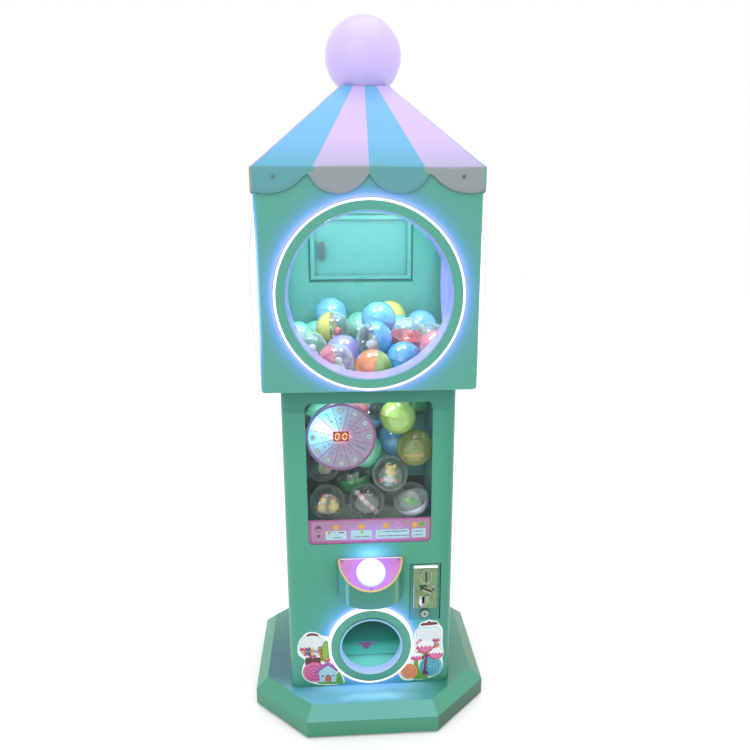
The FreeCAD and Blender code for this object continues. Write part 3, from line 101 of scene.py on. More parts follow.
class Shading:
    """One material and short calls that add nodes to it."""

    def __init__(self, name, **values):
        self.material = bpy.data.materials.new(name)
        self.material.use_nodes = True
        self.tree = self.material.node_tree
        self.surface = self.tree.nodes["Principled BSDF"]
        self.output = self.tree.nodes["Material Output"]
        for key, value in values.items():
            self.set(key.replace("_", " "), value)

    def set(self, socket, value):
        """Give one of the main shader's sockets a value or another node's output."""
        self.feed(self.surface.inputs[socket], value)

    def feed(self, socket, value):
        if isinstance(value, bpy.types.NodeSocket):
            self.tree.links.new(value, socket)
        else:
            socket.default_value = value

    def node(self, kind, inputs=(), **settings):
        made = self.tree.nodes.new("ShaderNode" + kind)
        for key, value in settings.items():
            setattr(made, key, value)
        for key, value in dict(inputs).items():
            self.feed(made.inputs[key], value)
        return made

    def math(self, operation, a, b=0.0, clamp=False):
        return self.node("Math", {0: a, 1: b}, operation=operation, use_clamp=clamp).outputs[0]

    def vector(self, operation, a, b=(0, 0, 0), out=0):
        return self.node("VectorMath", {0: a, 1: b}, operation=operation).outputs[out]

    def times(self, first, *others):
        for other in others:
            first = self.math("MULTIPLY", first, other)
        return first

    def most(self, a, b):
        return self.math("MAXIMUM", a, b)

    def plus(self, a, b):
        return self.math("ADD", a, b)

    def minus(self, a, b):
        return self.math("SUBTRACT", a, b)

    def size(self, value):
        return self.math("ABSOLUTE", value)

    def under(self, value, limit):
        return self.math("LESS_THAN", value, limit)

    def over(self, value, limit):
        return self.math("GREATER_THAN", value, limit)

    def normal(self):
        """The three parts of the surface's direction."""
        return self.node("SeparateXYZ", {0: self.node("NewGeometry").outputs["Normal"]}).outputs

    def place(self):
        """Position in the machine's own frame."""
        return self.node("TexCoord").outputs["Object"]

    def axis(self, name):
        return self.node("SeparateXYZ", {0: self.place()}).outputs[name]

    def noise(self, scale, detail=3.0, rough=0.5, place=None, out="Fac"):
        source = place if place is not None else self.place()
        return self.node("TexNoise", {"Vector": source, "Scale": scale, "Detail": detail,
                                      "Roughness": rough}).outputs[out]

    def stretched(self, factors):
        return self.vector("MULTIPLY", self.place(), factors)

    def remap(self, value, from_low, from_high, low=0.0, high=1.0, kind="LINEAR"):
        made = self.node("MapRange", {0: value, 1: from_low, 2: from_high, 3: low, 4: high},
                         interpolation_type=kind)
        return made.outputs[0]

    def ease(self, value, from_low, from_high, low=0.0, high=1.0):
        """remap with soft ends."""
        return self.remap(value, from_low, from_high, low, high, "SMOOTHSTEP")

    def uneven(self, scale, detail, low=0.0, high=1.0, spread=0.2):
        """Noise as a value between low and high; a smaller spread makes its change sharper."""
        return self.remap(self.noise(scale, detail), 0.5 - spread, 0.5 + spread, low, high)

    def mix(self, share, a, b, kind="MIX"):
        made = self.node("Mix", data_type="RGBA", blend_type=kind)
        self.feed(made.inputs[0], share)
        self.feed(made.inputs[6], a)
        self.feed(made.inputs[7], b)
        return made.outputs[2]

    def ramp(self, value, stops):
        made = self.node("ValToRGB", {0: value})
        points = made.color_ramp.elements
        while len(points) < len(stops):
            points.new(0.5)
        for point, (where, colour) in zip(points, stops):
            point.position = where
            point.color = colour
        return made.outputs[0]

    def bump(self, height, strength, distance=0.001):
        made = self.node("Bump", {"Height": height, "Strength": strength, "Distance": distance})
        self.set("Normal", made.outputs[0])

    def distance(self, centre, mask=(1, 1, 1)):
        """Distance from a point, counting only the axes in mask."""
        gap = self.vector("SUBTRACT", self.place(), tuple(centre))
        return self.vector("LENGTH", self.vector("MULTIPLY", gap, mask), out=1)

    def along(self, centre, direction):
        """How far a point lies from centre in a direction."""
        gap = self.vector("SUBTRACT", self.place(), tuple(centre))
        return self.vector("DOT_PRODUCT", gap, tuple(direction), out=1)

    def shine(self, colour, strength):
        self.set("Emission Color", colour)
        self.set("Emission Strength", strength)

    def crevice(self, base, reach=0.07, least=0.62):
        """Painted shade: darken where other surfaces stand close by."""
        near = self.node("AmbientOcclusion", {"Distance": reach}, samples=6).outputs["AO"]
        return self.mix(self.remap(near, 0.25, 0.9, least, 1.0), tint(0, 0, 0), base)

    def wear(self, base, dark, scale=90.0, amount=0.25):
        """Base colour with faint cloudy change and fine marks."""
        cloud = self.uneven(2.2, 4.0, 0.0, amount)
        fine = self.remap(self.noise(scale, 5.0, 0.7), 0.62, 0.78, 0.0, 0.35)
        return self.mix(self.math("MAXIMUM", cloud, fine), base, dark)


def ring_glow(shading, ring, width, wall=0.0015):
    """Light thrown on the wall round a ring: 1 at its edge, fading over about width."""
    centre, out, radius = RINGS[ring]
    across = tuple(1.0 - abs(step) for step in out)
    gap = shading.minus(shading.distance(centre, across), radius)
    fade = shading.math("EXPONENT", shading.math("DIVIDE", shading.most(gap, 0.0), -width))
    depth = shading.along(centre, out)
    return shading.times(fade, shading.over(depth, -wall))


# Colours of the light that the lit rings and the push button throw, painted onto the paint near them.
GLOW_BLUE = tint(70, 120, 255)
GLOW_LILAC = tint(120, 150, 255)
WALL_GLOW_HUES = [(0.0, tint(70, 120, 215)), (0.6, tint(112, 145, 245)), (1.0, tint(165, 175, 255))]
OUTLET_GLOW_HUES = [(0.0, tint(60, 140, 225)), (0.6, tint(98, 155, 250)), (1.0, tint(165, 195, 255))]
BUTTON_GLOW_HUES = [(0.0, tint(70, 160, 235)), (0.6, tint(104, 192, 255)), (1.0, tint(150, 228, 255))]


def painted_steel(name, colour, shade, glows=(), hues=WALL_GLOW_HUES, extra=None, extra_hues=WALL_GLOW_HUES, glow=0.45,
                  painted_light_and_shade=None, roughness=0.3):
    """Powder-coated sheet: faint orange peel, slight cloudiness, painted shade where surfaces stand close,
    light from the rings near by.

    extra is more light on the paint; the function given for painted light and shade changes its colour. Each
    works from the shading.
    """
    paint = Shading(name, Roughness=roughness, Coat_Weight=0.15, Coat_Roughness=0.12, Specular_IOR_Level=0.35)
    base = paint.wear(colour, shade)
    # Painted light and shade from the given function, then painted shade where other surfaces stand close.
    if painted_light_and_shade:
        base = painted_light_and_shade(paint, base)
    base = paint.crevice(base)
    light = None
    for ring, width in glows:
        near = ring_glow(paint, ring, width)
        light = near if light is None else paint.most(light, near)
    if light is not None:
        thrown = paint.ramp(light, hues)
        if extra:
            more = extra(paint)
            other = paint.remap(paint.minus(more, light), -0.05, 0.05)
            light = paint.most(light, more)
            thrown = paint.mix(other, thrown, paint.ramp(light, extra_hues))
        base = paint.mix(paint.math("MULTIPLY", light, 0.6, clamp=True), base, thrown)
        paint.set("Emission Color", thrown)
        paint.set("Emission Strength", paint.times(paint.math("POWER", light, 1.2), glow))
    paint.set("Base Color", base)
    paint.set("Roughness", paint.uneven(14.0, 4.0, roughness - 0.05, roughness + 0.07))
    paint.bump(paint.noise(420.0, 2.0), 0.05, 0.0004)
    return paint.material


def column_light(paint):
    """Light that the push button throws above its hood, and the outlet's ring below itself."""
    in_front = paint.under(paint.axis("Y"), 0.0)
    above = paint.ease(paint.distance((0.0, COLUMN_FRONT, 0.476), (0.62, 0, 1.1)), 0.0, 0.066, 0.8, 0.0)
    below = paint.ease(paint.distance((0.0, COLUMN_FRONT, 0.084), (0.3, 0, 1.0)), 0.0, 0.045, 0.6, 0.0)
    return paint.times(paint.most(above, below), in_front)


def column_tone(paint, base):
    """Painted shade under the head, and a painted darker right edge in front."""
    across = paint.axis("X")
    height = paint.axis("Z")
    in_front = paint.remap(paint.axis("Y"), -0.185, -0.12, 1.0, 0.0)
    # Painted shade on the column's right edge in front.
    side = paint.times(paint.remap(across, 0.176, 0.229, 0.0, 0.9), in_front)
    base = paint.mix(side, base, tint(34, 122, 96))
    # Painted shadow of the head: a soft darkening towards it, then a sharp edge just below it.
    fading = paint.ease(height, 0.72, 0.866, 0.0, 0.35)
    under = paint.most(fading, paint.remap(height, 0.866, 0.872))
    return paint.mix(paint.times(under, in_front), base, tint(48, 128, 110), "DARKEN")


def head_light(paint):
    """Light of the left ring that runs round the head's front left edge."""
    edge = paint.ease(paint.axis("X"), HEAD_LEFT + 0.002, HEAD_LEFT + 0.013, 1.15, 0.0)
    away = paint.size(paint.minus(paint.axis("Z"), 1.18))
    in_front = paint.remap(paint.axis("Y"), -0.225, -0.19, 1.0, 0.0)
    fade = paint.times(paint.ease(away, 0.08, 0.27, 1.0, 0.15), in_front)
    return paint.times(edge, fade)


def head_tone(paint, base):
    """Inside the head: painted light that makes the walls a brighter blue-green, most of all low down, and
    painted shade round the refill door's opening.
    """
    depth = paint.axis("Y")
    across = paint.size(paint.axis("X"))
    height = paint.axis("Z")
    inside = paint.times(paint.under(depth, HEAD_BACK - SKIN), paint.over(depth, SKIN - HEAD_BACK),
                         paint.under(across, -HEAD_LEFT - SKIN))
    # Painted light on the inside walls, brighter low down.
    bright = paint.mix(paint.remap(height, 1.05, 1.3), tint(108, 184, 172), tint(78, 158, 146))
    base = paint.mix(inside, base, bright)
    # Painted shade round the refill door's opening.
    beside = paint.times(paint.under(across, 0.158), paint.over(height, 1.145), paint.under(height, 1.348),
                         paint.over(depth, 0.2), inside, 0.75)
    return paint.mix(beside, base, tint(30, 112, 98))


def door_tone(paint, base):
    """Painted light on the side of a rear door that faces into the machine: brighter and bluer."""
    return paint.mix(paint.remap(paint.normal()["Y"], -0.9, -0.5, 1.0, 0.0), base, tint(94, 168, 162))


def plinth_finish():
    """Glossy steel with painted light and shade: lighter bevel, darker skirt and right-facing facets, a deck
    painted bluer at the left front and darker to the right and behind, and the outlet's blue light and its
    reflection painted in front.
    """
    paint = Shading("plinth_mint", Coat_Weight=0.15, Coat_Roughness=0.05, Specular_IOR_Level=0.35)
    normal = paint.normal()
    across = paint.axis("X")
    depth = paint.axis("Y")
    # Painted reflection and shade on the deck: bluer to the left, darker to the right, greener towards the
    # back.
    deck = paint.ramp(paint.remap(across, -0.3, 0.3),
                      [(0.0, tint(112, 192, 216)), (0.5, tint(116, 196, 218)),
                       (0.7, tint(104, 182, 188)), (0.84, tint(62, 142, 118))])
    # Painted shade on the deck's left side behind the front.
    behind = paint.times(paint.ease(depth, -0.26, -0.14, 0.0, 0.85),
                         paint.remap(across, -0.24, -0.1, 1.0, 0.0))
    deck = paint.mix(behind, deck, tint(34, 98, 112))
    deck = paint.mix(paint.remap(depth, -0.05, 0.15), deck, tint(70, 152, 138))
    # Painted light and shade on the bevel and skirt, by which way each facet faces.
    slanted = paint.size(normal["X"])
    bevel = paint.mix(paint.remap(slanted, 0.25, 0.35), tint(100, 174, 164), tint(80, 156, 132))
    bevel = paint.mix(paint.remap(normal["X"], 0.55, 0.65), bevel, tint(52, 122, 84))
    skirt = paint.mix(paint.remap(normal["X"], 0.3, 0.6), tint(62, 141, 112), tint(30, 92, 62))
    base = paint.mix(paint.remap(normal["Z"], 0.2, 0.4), skirt, bevel)
    base = paint.mix(paint.remap(normal["Z"], 0.85, 0.95), base, deck)
    mottle = paint.uneven(2.2, 4.0, 0.9, 1.0)
    paint.set("Base Color", paint.crevice(paint.mix(mottle, tint(40, 110, 96), base), 0.05, 0.7))
    # Painted reflection of the outlet's halo as a streak on the deck, and a pool of its blue light in front.
    halo_reflection_streak = paint.ease(paint.distance((0.01, -0.247, 0.079), (0.45, 2.4, 1.0)), 0.0, 0.062, 0.42, 0.0)
    painted_light_pool = paint.times(paint.remap(depth, -0.236, -0.2, 0.0, 0.55),
                       paint.ease(paint.size(across), 0.06, 0.2, 1.0, 0.0))
    painted_light_pool = paint.times(painted_light_pool, paint.under(depth, 0.0))
    paint.set("Emission Color", paint.mix(painted_light_pool, tint(165, 215, 255), tint(60, 100, 255)))
    light = paint.times(paint.most(halo_reflection_streak, painted_light_pool), paint.remap(normal["Z"], 0.85, 0.95))
    paint.set("Emission Strength", light)
    paint.set("Roughness", paint.uneven(14.0, 4.0, 0.12, 0.22))
    paint.bump(paint.noise(420.0, 2.0), 0.04, 0.0004)
    return paint.material


def hood_finish():
    """Hood and coin door paint: the outlet ring's glow, and two soft upright painted reflections where the
    rounded front turns away.
    """
    paint = Shading("hood_mint", Roughness=0.3, Coat_Weight=0.15, Specular_IOR_Level=0.35)
    base = paint.crevice(paint.wear(tint(51, 130, 104), tint(43, 117, 94)))
    light = ring_glow(paint, "outlet", 0.022)
    across = paint.axis("X")
    on_hood = paint.under(paint.axis("Y"), COLUMN_FRONT - 0.006)
    # Painted reflections: a bluish streak on the left and along the hood's left edge, a yellow-green one on
    # the right.
    left = paint.ease(paint.size(paint.plus(across, 0.0625)), 0.001, 0.0065, 0.5, 0.0)
    right = paint.ease(paint.size(paint.minus(across, 0.0665)), 0.001, 0.007, 0.3, 0.0)
    edge = paint.ease(across, -0.085, -0.064, 0.3, 0.0)
    left = paint.times(paint.most(left, edge), on_hood)
    right = paint.times(right, on_hood)
    base = paint.mix(paint.times(light, 0.5), base, GLOW_BLUE)
    base = paint.mix(left, base, tint(110, 180, 215))
    paint.set("Base Color", paint.mix(right, base, tint(150, 185, 120)))
    glow = paint.plus(paint.times(light, 0.4), paint.times(left, 0.3))
    paint.shine(paint.mix(light, tint(100, 170, 230), GLOW_LILAC), glow)
    paint.bump(paint.noise(420.0, 2.0), 0.05, 0.0004)
    return paint.material


def metal(name, colour, roughness, streaks=(1, 1, 1), depth=0.04):
    """Plated or brushed metal with fine directional marks and handling smudges."""
    plate = Shading(name, Metallic=1.0)
    grain = plate.noise(260.0, 4.0, 0.6, plate.stretched(streaks))
    smudge = plate.noise(30.0, 3.0)
    plate.set("Base Color", plate.mix(plate.remap(smudge, 0.35, 0.7, 0.0, 0.35), colour,
                                      tuple(0.6 * c for c in colour[:3]) + (1.0,)))
    plate.set("Roughness", plate.remap(smudge, 0.3, 0.7, roughness, roughness + 0.14))
    plate.bump(grain, depth, 0.0003)
    return plate.material


def plastic(name, colour, roughness=0.3, coat=0.3, soft=0.0, grain=0.05, polish=0.06):
    """Moulded plastic: slight mottling, fine texture."""
    body = Shading(name, Coat_Weight=coat, Coat_Roughness=polish, Subsurface_Weight=soft,
                   Subsurface_Scale=0.006)
    paler = tuple(min(1.0, 1.18 * c + 0.01) for c in colour[:3]) + (1.0,)
    body.set("Base Color", body.mix(body.uneven(38.0, 3.0, 0.0, 0.5, 0.15), colour, paler))
    body.set("Roughness", body.uneven(120.0, 3.0, roughness - 0.04, roughness + 0.06))
    body.bump(body.noise(900.0, 2.0), grain, 0.0002)
    return body.material


def lit(name, base, light, strength):
    """Diffuser that shines by itself, a little uneven from the lamps behind it."""
    body = Shading(name, Base_Color=base, Roughness=0.4)
    lamps = body.uneven(16.0, 2.0, 0.94, 1.05)
    body.shine(light, body.times(lamps, strength))
    return body


def see_through(name, colour, edge, clear=0.05, rim=0.55, power=2.2, roughness=0.04, sparkle=0.0):
    """Thin clear plastic: nearly invisible face on, whiter and glossy towards its edges."""
    shell = Shading(name, Base_Color=edge, Roughness=roughness, Coat_Weight=0.6)
    shell.bump(shell.noise(26.0, 2.0), 0.06, 0.0006)
    facing = shell.node("LayerWeight", {"Blend": 0.5}).outputs["Facing"]
    share = shell.remap(shell.math("POWER", facing, power), 0.0, 1.0, clear, rim)
    scuffs = shell.remap(shell.noise(60.0, 5.0, 0.7), 0.6, 0.8, 0.0, 0.06)
    through = shell.node("BsdfTransparent", {"Color": colour})
    blend = shell.node("MixShader", {0: shell.math("ADD", share, scuffs, clamp=True),
                                     1: through.outputs[0], 2: shell.surface.outputs[0]})
    if sparkle:
        shine = shell.node("BsdfGlossy", {"Color": (sparkle,) * 3 + (1.0,), "Roughness": 0.06})
        blend = shell.node("AddShader", {0: blend.outputs[0], 1: shine.outputs[0]})
    shell.tree.links.new(blend.outputs[0], shell.output.inputs["Surface"])
    return shell.material


# ---- finishes -----------------------------------------------------------------------------------
MINT = tint(80, 157, 138)
MINT_SHADE = tint(66, 140, 122)
HEAD_PAINT = painted_steel("head_mint", MINT, MINT_SHADE,
                           [("front", 0.019), ("left", 0.019), ("right", 0.019)],
                           extra=head_light, extra_hues=OUTLET_GLOW_HUES, painted_light_and_shade=head_tone)
COLUMN_PAINT = painted_steel("column_mint", tint(66, 151, 126), tint(54, 136, 113), [("outlet", 0.024)],
                             hues=OUTLET_GLOW_HUES, extra=column_light, extra_hues=BUTTON_GLOW_HUES, glow=0.5,
                             painted_light_and_shade=column_tone)
PLINTH_PAINT = plinth_finish()
COVER_PAINT = painted_steel("ring_mint", tint(78, 156, 138), tint(70, 144, 128))
INNER_PAINT = painted_steel("inner_mint", tint(112, 192, 196), tint(98, 178, 180), roughness=0.4)
DOOR_PAINT = painted_steel("door_mint", MINT, MINT_SHADE, painted_light_and_shade=door_tone)
HOOD_PAINT = hood_finish()
DARK_STEEL = metal("dark_steel", tint(74, 76, 80), 0.5)
ZINC = metal("zinc_plate", tint(196, 198, 202), 0.28)
CHROME = metal("chrome_plate", tint(150, 160, 142), 0.14, (1, 1, 6), 0.02)
POLISHED = metal("polished_plate", tint(196, 206, 190), 0.2, (1, 1, 6), 0.02)
BOSS = metal("boss_plate", tint(160, 172, 150), 0.25, (1, 1, 6), 0.02)
DULL_STEEL = metal("dull_steel", tint(104, 126, 124), 0.3)
RUBBER = plastic("black_rubber", tint(26, 26, 28), 0.7, 0.0)
BLACK = plastic("black_plastic", tint(20, 21, 24), 0.4, 0.1)
BOARD = plastic("board_green", tint(28, 96, 60), 0.45, 0.2)
ROTOR = plastic("rotor_white", tint(222, 224, 220), 0.35, 0.1)
WHITE_LAMP = lit("lamp_white", tint(240, 240, 250), tint(240, 235, 255), 1.6).material


HALO_EDGE = 0.008         # part of a window's halo, in from its rim, where white turns blue


def halo_finish(ring):
    """Milky diffuser: pinkish white beside the cover, blue-violet towards the wall; the outlet's is white."""
    body = lit(ring + "_halo_white", tint(200, 205, 255), tint(252, 232, 255), 1.0)
    centre, out, radius = RINGS[ring]
    if ring == "outlet":
        pale = body.uneven(12.0, 2.0, 0.94, 1.0)
    else:
        facing = body.vector("DOT_PRODUCT", body.node("NewGeometry").outputs["Normal"], tuple(out), out=1)
        across = body.distance(centre, tuple(1.0 - abs(step) for step in out))
        near = body.remap(across, radius - 0.62 * HALO_EDGE, radius - 0.25 * HALO_EDGE, 1.0, 0.0)
        pale = body.most(near, body.remap(facing, 0.05, 0.3, 1.0, 0.0))
    body.set("Base Color", body.mix(pale, tint(120, 140, 235), tint(240, 230, 250)))
    body.shine(body.mix(pale, tint(84, 112, 240), tint(255, 232, 255)),
               body.remap(pale, 0.0, 1.0, 0.75, 0.9))
    return body.material


def tube_finish(ring):
    """Milky liner of a round opening, violet above and paler towards its lowest point, with painted light
    that makes it glow faintly.
    """
    outlet = ring == "outlet"
    body = Shading(ring + "_tube_violet", Roughness=0.25, Coat_Weight=0.4)
    centre, out, radius = RINGS[ring]
    height = body.remap(body.axis("Z"), centre.z - radius, centre.z + radius)
    if outlet:
        hue = body.ramp(height, [(0.0, tint(196, 214, 255)), (0.4, tint(150, 176, 240)),
                                 (1.0, tint(128, 156, 222))])
    else:
        hue = body.ramp(height, [(0.0, tint(176, 166, 236)), (0.35, tint(140, 132, 226)),
                                 (1.0, tint(132, 124, 226))])
    across = tuple(1.0 - abs(step) for step in out)
    spoke = body.vector("MULTIPLY", body.vector("SUBTRACT", body.place(), tuple(centre)), across)
    normal = body.node("NewGeometry").outputs["Normal"]
    inner = body.remap(body.vector("DOT_PRODUCT", normal, spoke, out=1), -0.01, 0.01, 1.0, 0.0)
    body.set("Base Color", body.mix(inner, tint(84, 170, 158), hue))
    # Painted light: the liner's inner face glows faintly in its own hue.
    body.set("Emission Color", hue)
    low, high = (0.4, 0.48) if outlet else (0.26, 0.32)
    uneven = body.uneven(20.0, 2.0, low, high)
    body.set("Emission Strength", body.times(uneven, inner))
    return body.material


PANE = see_through("clear_pane", (0.97, 1.0, 0.99, 1.0), tint(235, 250, 250), 0.015, 0.16, 3.0, 0.02)


def use(finish, *nodes):
    for name in nodes:
        slots = NODES[name].data.materials
        slots.clear()
        slots.append(finish)


for finish, nodes in (
        (HEAD_PAINT, "head_shell"),
        (COLUMN_PAINT, "column_shell"),
        (PLINTH_PAINT, "base_plinth"),
        (COVER_PAINT, "front_ring_cover left_ring_cover right_ring_cover outlet_ring_cover"),
        (INNER_PAINT, "hopper_bin head_funnel dispenser_deck"),
        (DOOR_PAINT, "head_rear_door column_rear_door"),
        (HOOD_PAINT, "button_hood coin_door"),
        (DARK_STEEL, "base_frame"),
        (ZINC, "hinge_pins coin_lock_cam column_door_cam coin_box power_supply rotor_motor"),
        (DULL_STEEL, "cover_screws head_door_cam coin_lock"),
        (CHROME, "coin_return_cup reject_lever"),
        (RUBBER, "levelling_feet"),
        (BLACK, "button_body coin_mechanism wheel_housing power_inlet"),
        (BOARD, "control_board"),
        (ROTOR, "capsule_rotor"),
        (WHITE_LAMP, "globe_lamp roof_light_board ring_led_strips"),
        (PANE, "column_window_pane front_window_pane left_window_pane right_window_pane")):
    use(finish, *nodes.split())
for ring_name in RINGS:
    use(halo_finish(ring_name), ring_name + "_halo_diffuser")
    tube_node = "outlet_tube" if ring_name == "outlet" else ring_name + "_window_tube"
    use(tube_finish(ring_name), tube_node)


# ---- mesh helpers -------------------------------------------------------------------------------
def piece(name, shape, finishes, body="cabinet", smooth=None):
    """Turn a bmesh into a piece of the machine that rides on a body."""
    data = bpy.data.meshes.new(name)
    bmesh.ops.recalc_face_normals(shape, faces=shape.faces)
    shape.to_mesh(data)
    shape.free()
    for finish in finishes:
        data.materials.append(finish)
    made = bpy.data.objects.new(name, data)
    bpy.context.scene.collection.objects.link(made)
    if smooth is not None:
        data.shade_smooth()
        data.set_sharp_from_angle(angle=math.radians(smooth))
    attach(made, body)
    return made


def bridge(shape, first, second, paint=0):
    """Quads between two closed loops of vertices with the same count."""
    count = len(first)
    for i in range(count):
        j = (i + 1) % count
        face = shape.faces.new((first[i], first[j], second[j], second[i]))
        face.material_index = paint


def lathe(shape, profile, centre, axis, steps=28, paint=0, closed=False):
    """Turn (radius, height) points round an axis; a radius of 0 makes a pole."""
    axis = Vector(axis).normalized()
    side = axis.orthogonal().normalized()
    other = axis.cross(side)
    loops = []
    for radius, height in profile:
        hub = Vector(centre) + axis * height
        if radius < 1e-7:
            loops.append([shape.verts.new(hub)])
            continue
        loop = []
        for i in range(steps):
            turn = 2 * math.pi * i / steps
            loop.append(shape.verts.new(hub + radius * (side * math.cos(turn) + other * math.sin(turn))))
        loops.append(loop)
    pairs = list(zip(loops, loops[1:]))
    if closed:
        pairs.append((loops[-1], loops[0]))
    for first, second in pairs:
        if len(first) == 1 or len(second) == 1:
            pole, loop = (first[0], second) if len(first) == 1 else (second[0], first)
            for i in range(steps):
                face = shape.faces.new((pole, loop[i], loop[(i + 1) % steps]))
                face.material_index = paint
        else:
            bridge(shape, first, second, paint)


# ---- roof ---------------------------------------------------------------------------------------
ROOF_LOW, ROOF_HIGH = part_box("roof_shell")
EAVE_W = ROOF_HIGH.x
EAVE_D = ROOF_HIGH.y
EAVE_Z = ROOF_LOW.z + 0.060
TOP_HALF = 0.0595
LOBE_DROP = 0.0445
STRIPE_SHARE = 0.46        # where the outer stripes begin, as a share of half the side
STRIPE_FLARE = 0.45        # how much a stripe's edge spreads as it goes down the valance
ROOF_PLY = 0.003
FOLD = 0.005              # radius of the soft fold at the eave
CORNER = 0.006            # how far a side's last point stays from the corner


def lobe_height(along, half, cusp):
    """Height of the valance's edge: round lobes that meet in small rounded cusps."""
    corner_low = half - (0.037 if half == EAVE_W else 0.0355)
    heights = []
    for low, reach in ((0.5 * cusp, 0.5 * cusp), (corner_low, corner_low - cusp)):
        radius = (reach ** 2 + LOBE_DROP ** 2) / (2 * LOBE_DROP)
        for side in (-1, 1):
            gap = abs(along - side * low)
            if gap < 0.97 * radius:
                heights.append(radius - math.sqrt(radius ** 2 - gap ** 2))
    heights.sort()
    best = heights[0]
    if len(heights) > 1:
        blend = 0.008
        near = max(blend - abs(heights[1] - heights[0]), 0.0) / blend
        best -= near * near * blend * 0.25
    return ROOF_LOW.z + best


def stripe_place(share, half, z):
    """Distance along a side for a share from -1 to 1; the stripe's edge at 0.5 flares in the valance."""
    edge = STRIPE_SHARE * half
    if z < EAVE_Z:
        edge += (EAVE_Z - z) * STRIPE_FLARE
    size = abs(share)
    if size <= 0.5:
        place = size / 0.5 * edge
    else:
        place = edge + (size - 0.5) / 0.5 * (half - edge)
    return math.copysign(place, share)


def roof_side(turn, half_a, half_b, shares, z, bottom=False, cusp=0.0, corner=CORNER):
    """One row of points along one side of the roof, at height z or along the valance's wavy bottom."""
    row = []
    for share in shares:
        height = z
        along = stripe_place(share, half_a - corner, height)
        if bottom:
            for _ in range(4):
                height = lobe_height(along, half_a, cusp)
                along = stripe_place(share, half_a - corner, height)
        point = Vector((along, -half_b, height))
        row.append(Matrix.Rotation(turn, 3, "Z") @ point)
    return row


def roof():
    """Translucent pyramid and valance in sixteen stripes, folded softly at the eave."""
    shape = bmesh.new()
    shares = [i / 48 for i in range(-48, 49)]
    slope = math.atan2(ROOF_HIGH.z - EAVE_Z, EAVE_W - TOP_HALF)
    fold_top = EAVE_Z - FOLD

    def edge_up(lift):
        """Row of the valance: 0 is its wavy lower edge and 1 the start of the fold."""
        def row(turn, half_a, half_b, cusp):
            low = roof_side(turn, half_a, half_b, shares, EAVE_Z, True, cusp)
            side = []
            for share, point in zip(shares, low):
                height = point.z + (fold_top - point.z) * lift
                along = stripe_place(share, half_a - CORNER, height)
                side.append(Matrix.Rotation(turn, 3, "Z") @ Vector((along, -half_b, height)))
            return side if lift else low
        return row

    def fold_at(bend):
        def row(turn, half_a, half_b, cusp):
            inward = FOLD * (1 - math.cos(bend))
            height = fold_top + FOLD * math.sin(bend)
            return roof_side(turn, half_a - inward, half_b - inward, shares, height)
        return row

    def slope_at(up):
        def row(turn, half_a, half_b, cusp):
            reach_a = half_a - FOLD + (TOP_HALF - half_a + FOLD) * up
            reach_b = half_b - FOLD + (TOP_HALF - half_b + FOLD) * up
            height = EAVE_Z + (ROOF_HIGH.z - EAVE_Z) * up
            return roof_side(turn, reach_a, reach_b, shares, height, corner=0.004)
        return row

    rows = [edge_up(lift) for lift in (0.0, 0.45, 0.9)]
    rows += [fold_at((math.pi / 2 - slope) * i / 4) for i in range(1, 5)]
    rows += [slope_at(up) for up in (0.08, 0.2, 0.35, 0.5, 0.65, 0.8, 0.92, 0.985)]
    loops = []
    for row in rows:
        loop = []
        for quarter in range(4):
            sizes = (EAVE_D, EAVE_W, 0.130) if quarter % 2 else (EAVE_W, EAVE_D, 0.1395)
            loop += [shape.verts.new(point) for point in row(math.pi / 2 * quarter, *sizes)]
        loops.append(loop)
    shoulder = []
    rim = []
    for vert in loops[-1]:
        flat = Vector((vert.co.x, vert.co.y, 0))
        shoulder.append(shape.verts.new(flat * 0.93 + UP * ROOF_HIGH.z))
        rim.append(shape.verts.new(flat.normalized() * 0.050 + UP * ROOF_HIGH.z))
    loops += [shoulder, rim]
    for first, second in zip(loops, loops[1:]):
        bridge(shape, first, second)
    for face in shape.faces:
        face.material_index = stripe_at(face.calc_center_median())
    made = piece("roof_canopy", shape, [ROOF_BLUE, ROOF_WHITE], smooth=40)
    wall = made.modifiers.new("wall", "SOLIDIFY")
    wall.thickness = ROOF_PLY
    wall.offset = -1.0
    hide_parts("roof_shell")


def stripe_at(point):
    """0 for a blue stripe and 1 for a white one; sixteen stripes go round the roof."""
    share_up = max(0.0, (point.z - EAVE_Z) / (ROOF_HIGH.z - EAVE_Z))
    half_w = EAVE_W + (TOP_HALF - EAVE_W) * share_up
    half_d = EAVE_D + (TOP_HALF - EAVE_D) * share_up
    on_front = abs(point.y) / half_d > abs(point.x) / half_w
    half = half_w if on_front else half_d
    if on_front:
        along = point.x if point.y < 0 else -point.x
    else:
        along = point.y if point.x > 0 else -point.y
    edge = STRIPE_SHARE * half + max(0.0, EAVE_Z - point.z) * STRIPE_FLARE
    if along < -edge:
        return 0
    if along < 0:
        return 1
    return 0 if along < edge else 1


